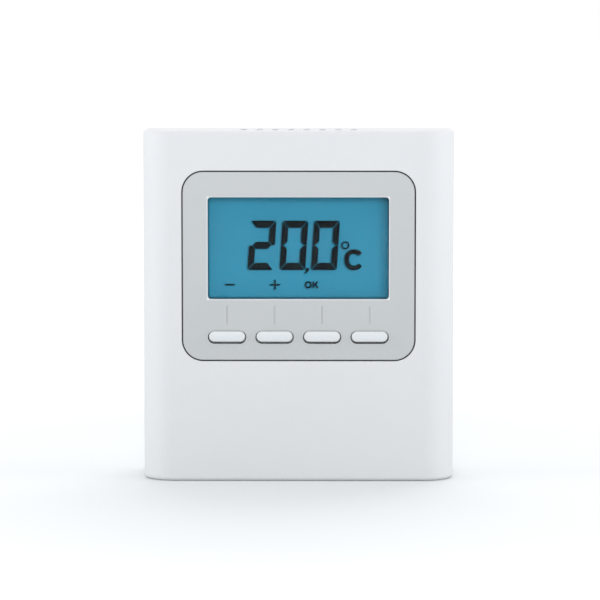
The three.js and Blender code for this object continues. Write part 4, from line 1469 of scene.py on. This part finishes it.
def makeContacts():
    for node, name in (("negative_contact", "negativeContact"), ("positive_contact", "positiveContact")):
        (left, right), (front, back), heights = spanOf(node)
        faceFront, middle = back - contacts["faceDepth"], middleOf(heights)
        face = softBlock(name, ((left, right), (faceFront, back), heights), 0.12)
        depths = (front, faceFront + contacts["tailOverlap"])
        tailSpan = (middle - contacts["tailHalf"], middle + contacts["tailHalf"])
        tail = softBlock("tail", ((left + 0.01, right - 0.01), depths, tailSpan), 0.12)
        joined(face, [tail])
        finishPiece(face, looks["platedSteel"], nodes=[node])
    bridge = softBlock("bridgeContact", spanOf("bridge_contact"), 0.14)
    finishPiece(bridge, looks["platedSteel"], nodes=["bridge_contact"])


tray = {
    "wall": 1.2,
    "floor": 1.0,
    "x": 26.0,
    "z": (10.3, 36.4),
    "front": 10.6,
    "rib": 0.9,
    "ribRise": 4,
    "tailRoom": 0.1,
}
sheetBack = {"depth": (18.4, 20.0), "hole": 1.45, "lips": (0.1, 0.25)}
slotRoom = {"hookWidth": 8.8, "hookGap": 0.4, "latchZ": 4.75, "latchWidth": 8.8, "latchHeight": 2.5}


def makeRearCover():
    front, back = sheetBack["depth"]
    sheet = slab(
        "rearCover",
        boxOutline((sheetSpan[0], (front, back), sheetSpan[2]), 1, 8),
        slabRows(front, back, 0.2, 0.25),
    )
    wall, half, trayFront = tray["wall"], tray["x"], tray["front"]
    low, high = tray["z"]
    trayBack, ribFront, middle = sheetSpan[1][1], trayFront + tray["floor"], middleOf((low, high))
    joined(sheet, [softBlock("trayOuter", ((-half, half), (trayFront, trayBack), (low, high)), 0.4, 4)])
    room = ((wall - half, half - wall), (ribFront, trayBack + 3), (low + wall, high - wall))
    shaped(sheet, [softBlock("trayInner", room, 0.35, 4)])
    reach = half - wall - 1.0
    depths = (ribFront - 0.3, ribFront + tray["ribRise"])
    ribZ = (middle - tray["rib"] / 2, middle + tray["rib"] / 2)
    joined(sheet, [softBlock("cellRib", ((-reach, reach), depths, ribZ), 0.2)])

    rows = mouthRows(front, back, *sheetBack["lips"], 3)

    def slotCutter(name, place, width, height):
        return slab(name, lambda grow: roundedOutline(width, height, 0.3, place, grow, 4), rows)

    # the hooks' arcs are highest at the sheet's front for the inner one, at its back for the outer one
    rises = []
    for radius, depth, gap in ((hooks["inner"], front, -1), (hooks["outer"], back, 1)):
        rises.append(math.sqrt(radius**2 - (plate["front"] - depth) ** 2) + gap * slotRoom["hookGap"])
    place = (-hooks["x"], coverHeight - sum(rises) / 2)
    slot = slotCutter("hookSlot", place, slotRoom["hookWidth"], rises[1] - rises[0])
    hole = turned(
        "screwHole",
        [(depth, sheetBack["hole"] + grow) for depth, grow in rows],
        (-bosses["x"], bosses["z"][0]),
        sides=32,
    )
    cutters = [
        copiesOf("hookSlots", slot, 2, 1, 2 * hooks["x"], 1),
        slotCutter("latchSlot", (0, slotRoom["latchZ"]), slotRoom["latchWidth"], slotRoom["latchHeight"]),
        copiesOf("screwHoles", hole, 2, 2, 2 * bosses["x"], sizeOf(bosses["z"])),
    ]
    cutters += tailRooms("tailSlot", tray["tailRoom"], (trayFront - 1, ribFront + 1))
    shaped(sheet, cutters)
    finishPiece(sheet, looks["mouldingPlastic"], nodes=["rear_cover"])


plate = {"inner": 22.8, "front": 20.8, "frontEdge": 0.25, "rim": 2.0}
hooks = {"x": 20, "width": 8, "inner": 4.9, "outer": 6.3, "start": -62, "end": -150.7}
latch = {"half": 4, "z": (3.9, 5.1), "barb": 0.5, "front": 17.3, "crest": 17.6, "rampFoot": 18.0}
wallSlots = {"x": 30, "z": 52, "length": 8.2, "width": 4.6, "topZ": 76, "lip": 0.4}
plateRibs = {"x": 12, "width": 1.2, "rise": 0.8, "z": (37.4, 82)}


# Rounds a loft's sharp edges.
def softened(piece, width, segments, fromAngle):
    soften = piece.modifiers.new("soften", "BEVEL")
    soften.width = width * unit
    soften.segments = segments
    soften.limit_method = "ANGLE"
    soften.angle_limit = math.radians(fromAngle)
    return settle(piece)


def hookPiece():
    depth, height, count = plate["front"], coverHeight, 28

    def arc(radius):
        start, sweep = hooks["start"], hooks["end"] - hooks["start"]
        turns = [math.radians(start + sweep * k / count) for k in range(count + 1)]
        return [(depth + radius * math.cos(turn), height + radius * math.sin(turn)) for turn in turns]

    outline = arc(hooks["outer"]) + arc(hooks["inner"])[::-1]
    xs = (-hooks["x"] - hooks["width"] / 2, -hooks["x"] + hooks["width"] / 2)
    return softened(loft("hook", [[at(x, y, z) for y, z in outline] for x in xs]), 0.18, 3, 50)


def latchPiece():
    low, high = latch["z"]
    inner = plate["inner"] + 0.1
    outline = [(inner, low), (inner, high), (latch["rampFoot"], high), (latch["crest"], high + latch["barb"])]
    outline += [(latch["front"], high), (latch["front"], low)]
    half = latch["half"]
    piece = loft("latch", [[at(x, depth, z) for depth, z in outline] for x in (-half, half)])
    return softened(piece, 0.12, 2, 30)


def makeWallPlate():
    low, high = plateSpan[2]
    back = plateSpan[1][1]
    front = (plate["front"], plate["frontEdge"], False)
    rear = (back, cover["rearCorner"], True)
    rows = slabRows(low, high, cover["edge"], cover["edge"], 6)
    tub = column("wallPlate", lambda grow: planOutline(-grow, front, rear, 10), rows)
    rim = plate["rim"]
    room = ((rim - halfWidth, halfWidth - rim), (plate["front"] - 2, plate["inner"]), (rim, high - rim))
    shaped(tub, [softBlock("plateRoom", room, 0.3)])
    ribX, ribHalf = -plateRibs["x"], plateRibs["width"] / 2
    ribDepths = (plate["inner"] - plateRibs["rise"], plate["inner"] + 0.3)
    ribSpans = ((ribX - ribHalf, ribX + ribHalf), ribDepths, plateRibs["z"])
    ribs = copiesOf("plateRibs", softBlock("rib", ribSpans, 0.15), 2, 1, 2 * plateRibs["x"], 1)
    pair = copiesOf("hooks", hookPiece(), 2, 1, 2 * hooks["x"], 1)
    joined(tub, [ribs, pair, latchPiece()])
    through = (plate["inner"], back)
    lip = wallSlots["lip"]
    size = (wallSlots["length"], wallSlots["width"])
    slot = slab(
        "wallSlot",
        lambda grow: roundedOutline(*size, size[1] / 2, (-wallSlots["x"], wallSlots["z"]), grow, 12),
        mouthRows(*through, lip, lip * 0.6),
    )
    top = slab(
        "topSlot",
        lambda grow: roundedOutline(size[1], size[0], size[1] / 2, (0, wallSlots["topZ"]), grow, 12),
        mouthRows(*through, lip, lip * 0.6),
    )
    notch = softBlock("fingerNotch", ((-5, 5), (plate["front"] - 2, plate["front"] + 1.7), (-3, 3)), 0.4, 4)
    shaped(tub, [copiesOf("wallSlots", slot, 2, 1, 2 * wallSlots["x"], 1), top, notch])
    finishPiece(tub, looks["mouldingPlastic"], "wall_plate", ["wall_plate"])


stages = {
    "front cover": makeFrontCover,
    "bezel and window": makeBezel,
    "keys": makeKeys,
    "switches": makeSwitches,
    "display": makeDisplay,
    "screws": makeScrews,
    "circuit board": makeBoard,
    "electronics": makeElectronics,
    "coils": makeWindings,
    "batteries": makeBatteries,
    "contacts": makeContacts,
    "rear cover": makeRearCover,
    "wall plate": makeWallPlate,
}
for label, make in stages.items():
    make()
    print("made:", label)


studio = {
    "floorSize": 60.0,
    # painted shade on the floor: darker near the object, paler from 0.11 m to 0.35 m away
    "floorPaintedShade": {"near": (215, 218, 220), "far": (241, 243, 245), "from": 0.11, "to": 0.35},
    "sky": {"direction": (0.12, 0.6, 0.75), "power": 0.85, "spread": 50},
    "ambient": 1.0,
    "lamps": {
        "keyLamp": {"place": (0.0, -1.0, 0.35), "size": 0.3, "power": 2.15},
        "leftLamp": {"place": (-1.1, -0.1, 0.3), "size": 0.5, "power": 3.5},
        "rightLamp": {"place": (1.1, -0.1, 0.35), "size": 0.5, "power": 3.5},
    },
}


def makeStudio():
    half = studio["floorSize"] / 2
    corners = [(-half, -half, 0), (half, -half, 0), (half, half, 0), (-half, half, 0)]
    floor = newObject("floor", corners, [(0, 1, 2, 3)])
    look = Look("floorPaper")
    cloud = look.mottle(90, 2.0)
    tone = studio["floorPaintedShade"]
    # painted shade: the floor is darker near the object and paler further away
    away = look.node("ShaderNodeVectorMath", {0: look.place}, {"operation": "LENGTH"}, "Value")
    paler = ((away - tone["from"]) * (1 / (tone["to"] - tone["from"]))).clipped()
    colour = look.mixed(shade(*tone["near"]), shade(*tone["far"]), (paler + cloud * 0.05).clipped())
    floor.data.materials.append(look.finished(look.surface(colour=colour, roughness=0.75 + cloud * 0.05)))

    world = bpy.data.worlds.new("studioWorld")
    world.use_nodes = True
    backdrop = world.node_tree.nodes["Background"]
    backdrop.inputs["Color"].default_value = (1, 1, 1, 1)
    backdrop.inputs["Strength"].default_value = studio["ambient"]
    scene.world = world

    sky = studio["sky"]  # a wide soft light high behind the object
    light = bpy.data.lights.new("skyLamp", "SUN")
    light.energy = sky["power"]
    light.angle = math.radians(sky["spread"])
    holder = bpy.data.objects.new("skyLamp", light)
    holder.rotation_euler = (-Vector(sky["direction"])).to_track_quat("-Z", "Y").to_euler()
    scene.collection.objects.link(holder)

    for name, lamp in studio["lamps"].items():
        light = bpy.data.lights.new(name, "AREA")
        light.shape = "SQUARE"
        light.size = lamp["size"]
        light.energy = lamp["power"]
        holder = bpy.data.objects.new(name, light)
        holder.location = lamp["place"]
        aim = Vector((0, 0, 0.045)) - holder.location
        holder.rotation_euler = aim.to_track_quat("-Z", "Y").to_euler()
        scene.collection.objects.link(holder)


camera = {"distance": 0.74, "height": 0.1141, "lens": 174.3, "aim": (0.00034, 0.0457), "side": 0.0057}


def makeCamera():
    data = bpy.data.cameras.new("camera")
    data.sensor_width = 36
    data.lens = camera["lens"]
    data.clip_start = 0.01
    data.clip_end = 100
    holder = bpy.data.objects.new("camera", data)
    holder.location = (camera["side"], faceY * unit - camera["distance"], camera["height"])
    aim = Vector((camera["aim"][0], 0, camera["aim"][1])) - holder.location
    holder.rotation_euler = aim.to_track_quat("-Z", "Y").to_euler()
    scene.collection.objects.link(holder)
    scene.camera = holder


makeStudio()
makeCamera()
scene.view_settings.view_transform = "Standard"
scene.cycles.transparent_max_bounces = 32
print("studio made")
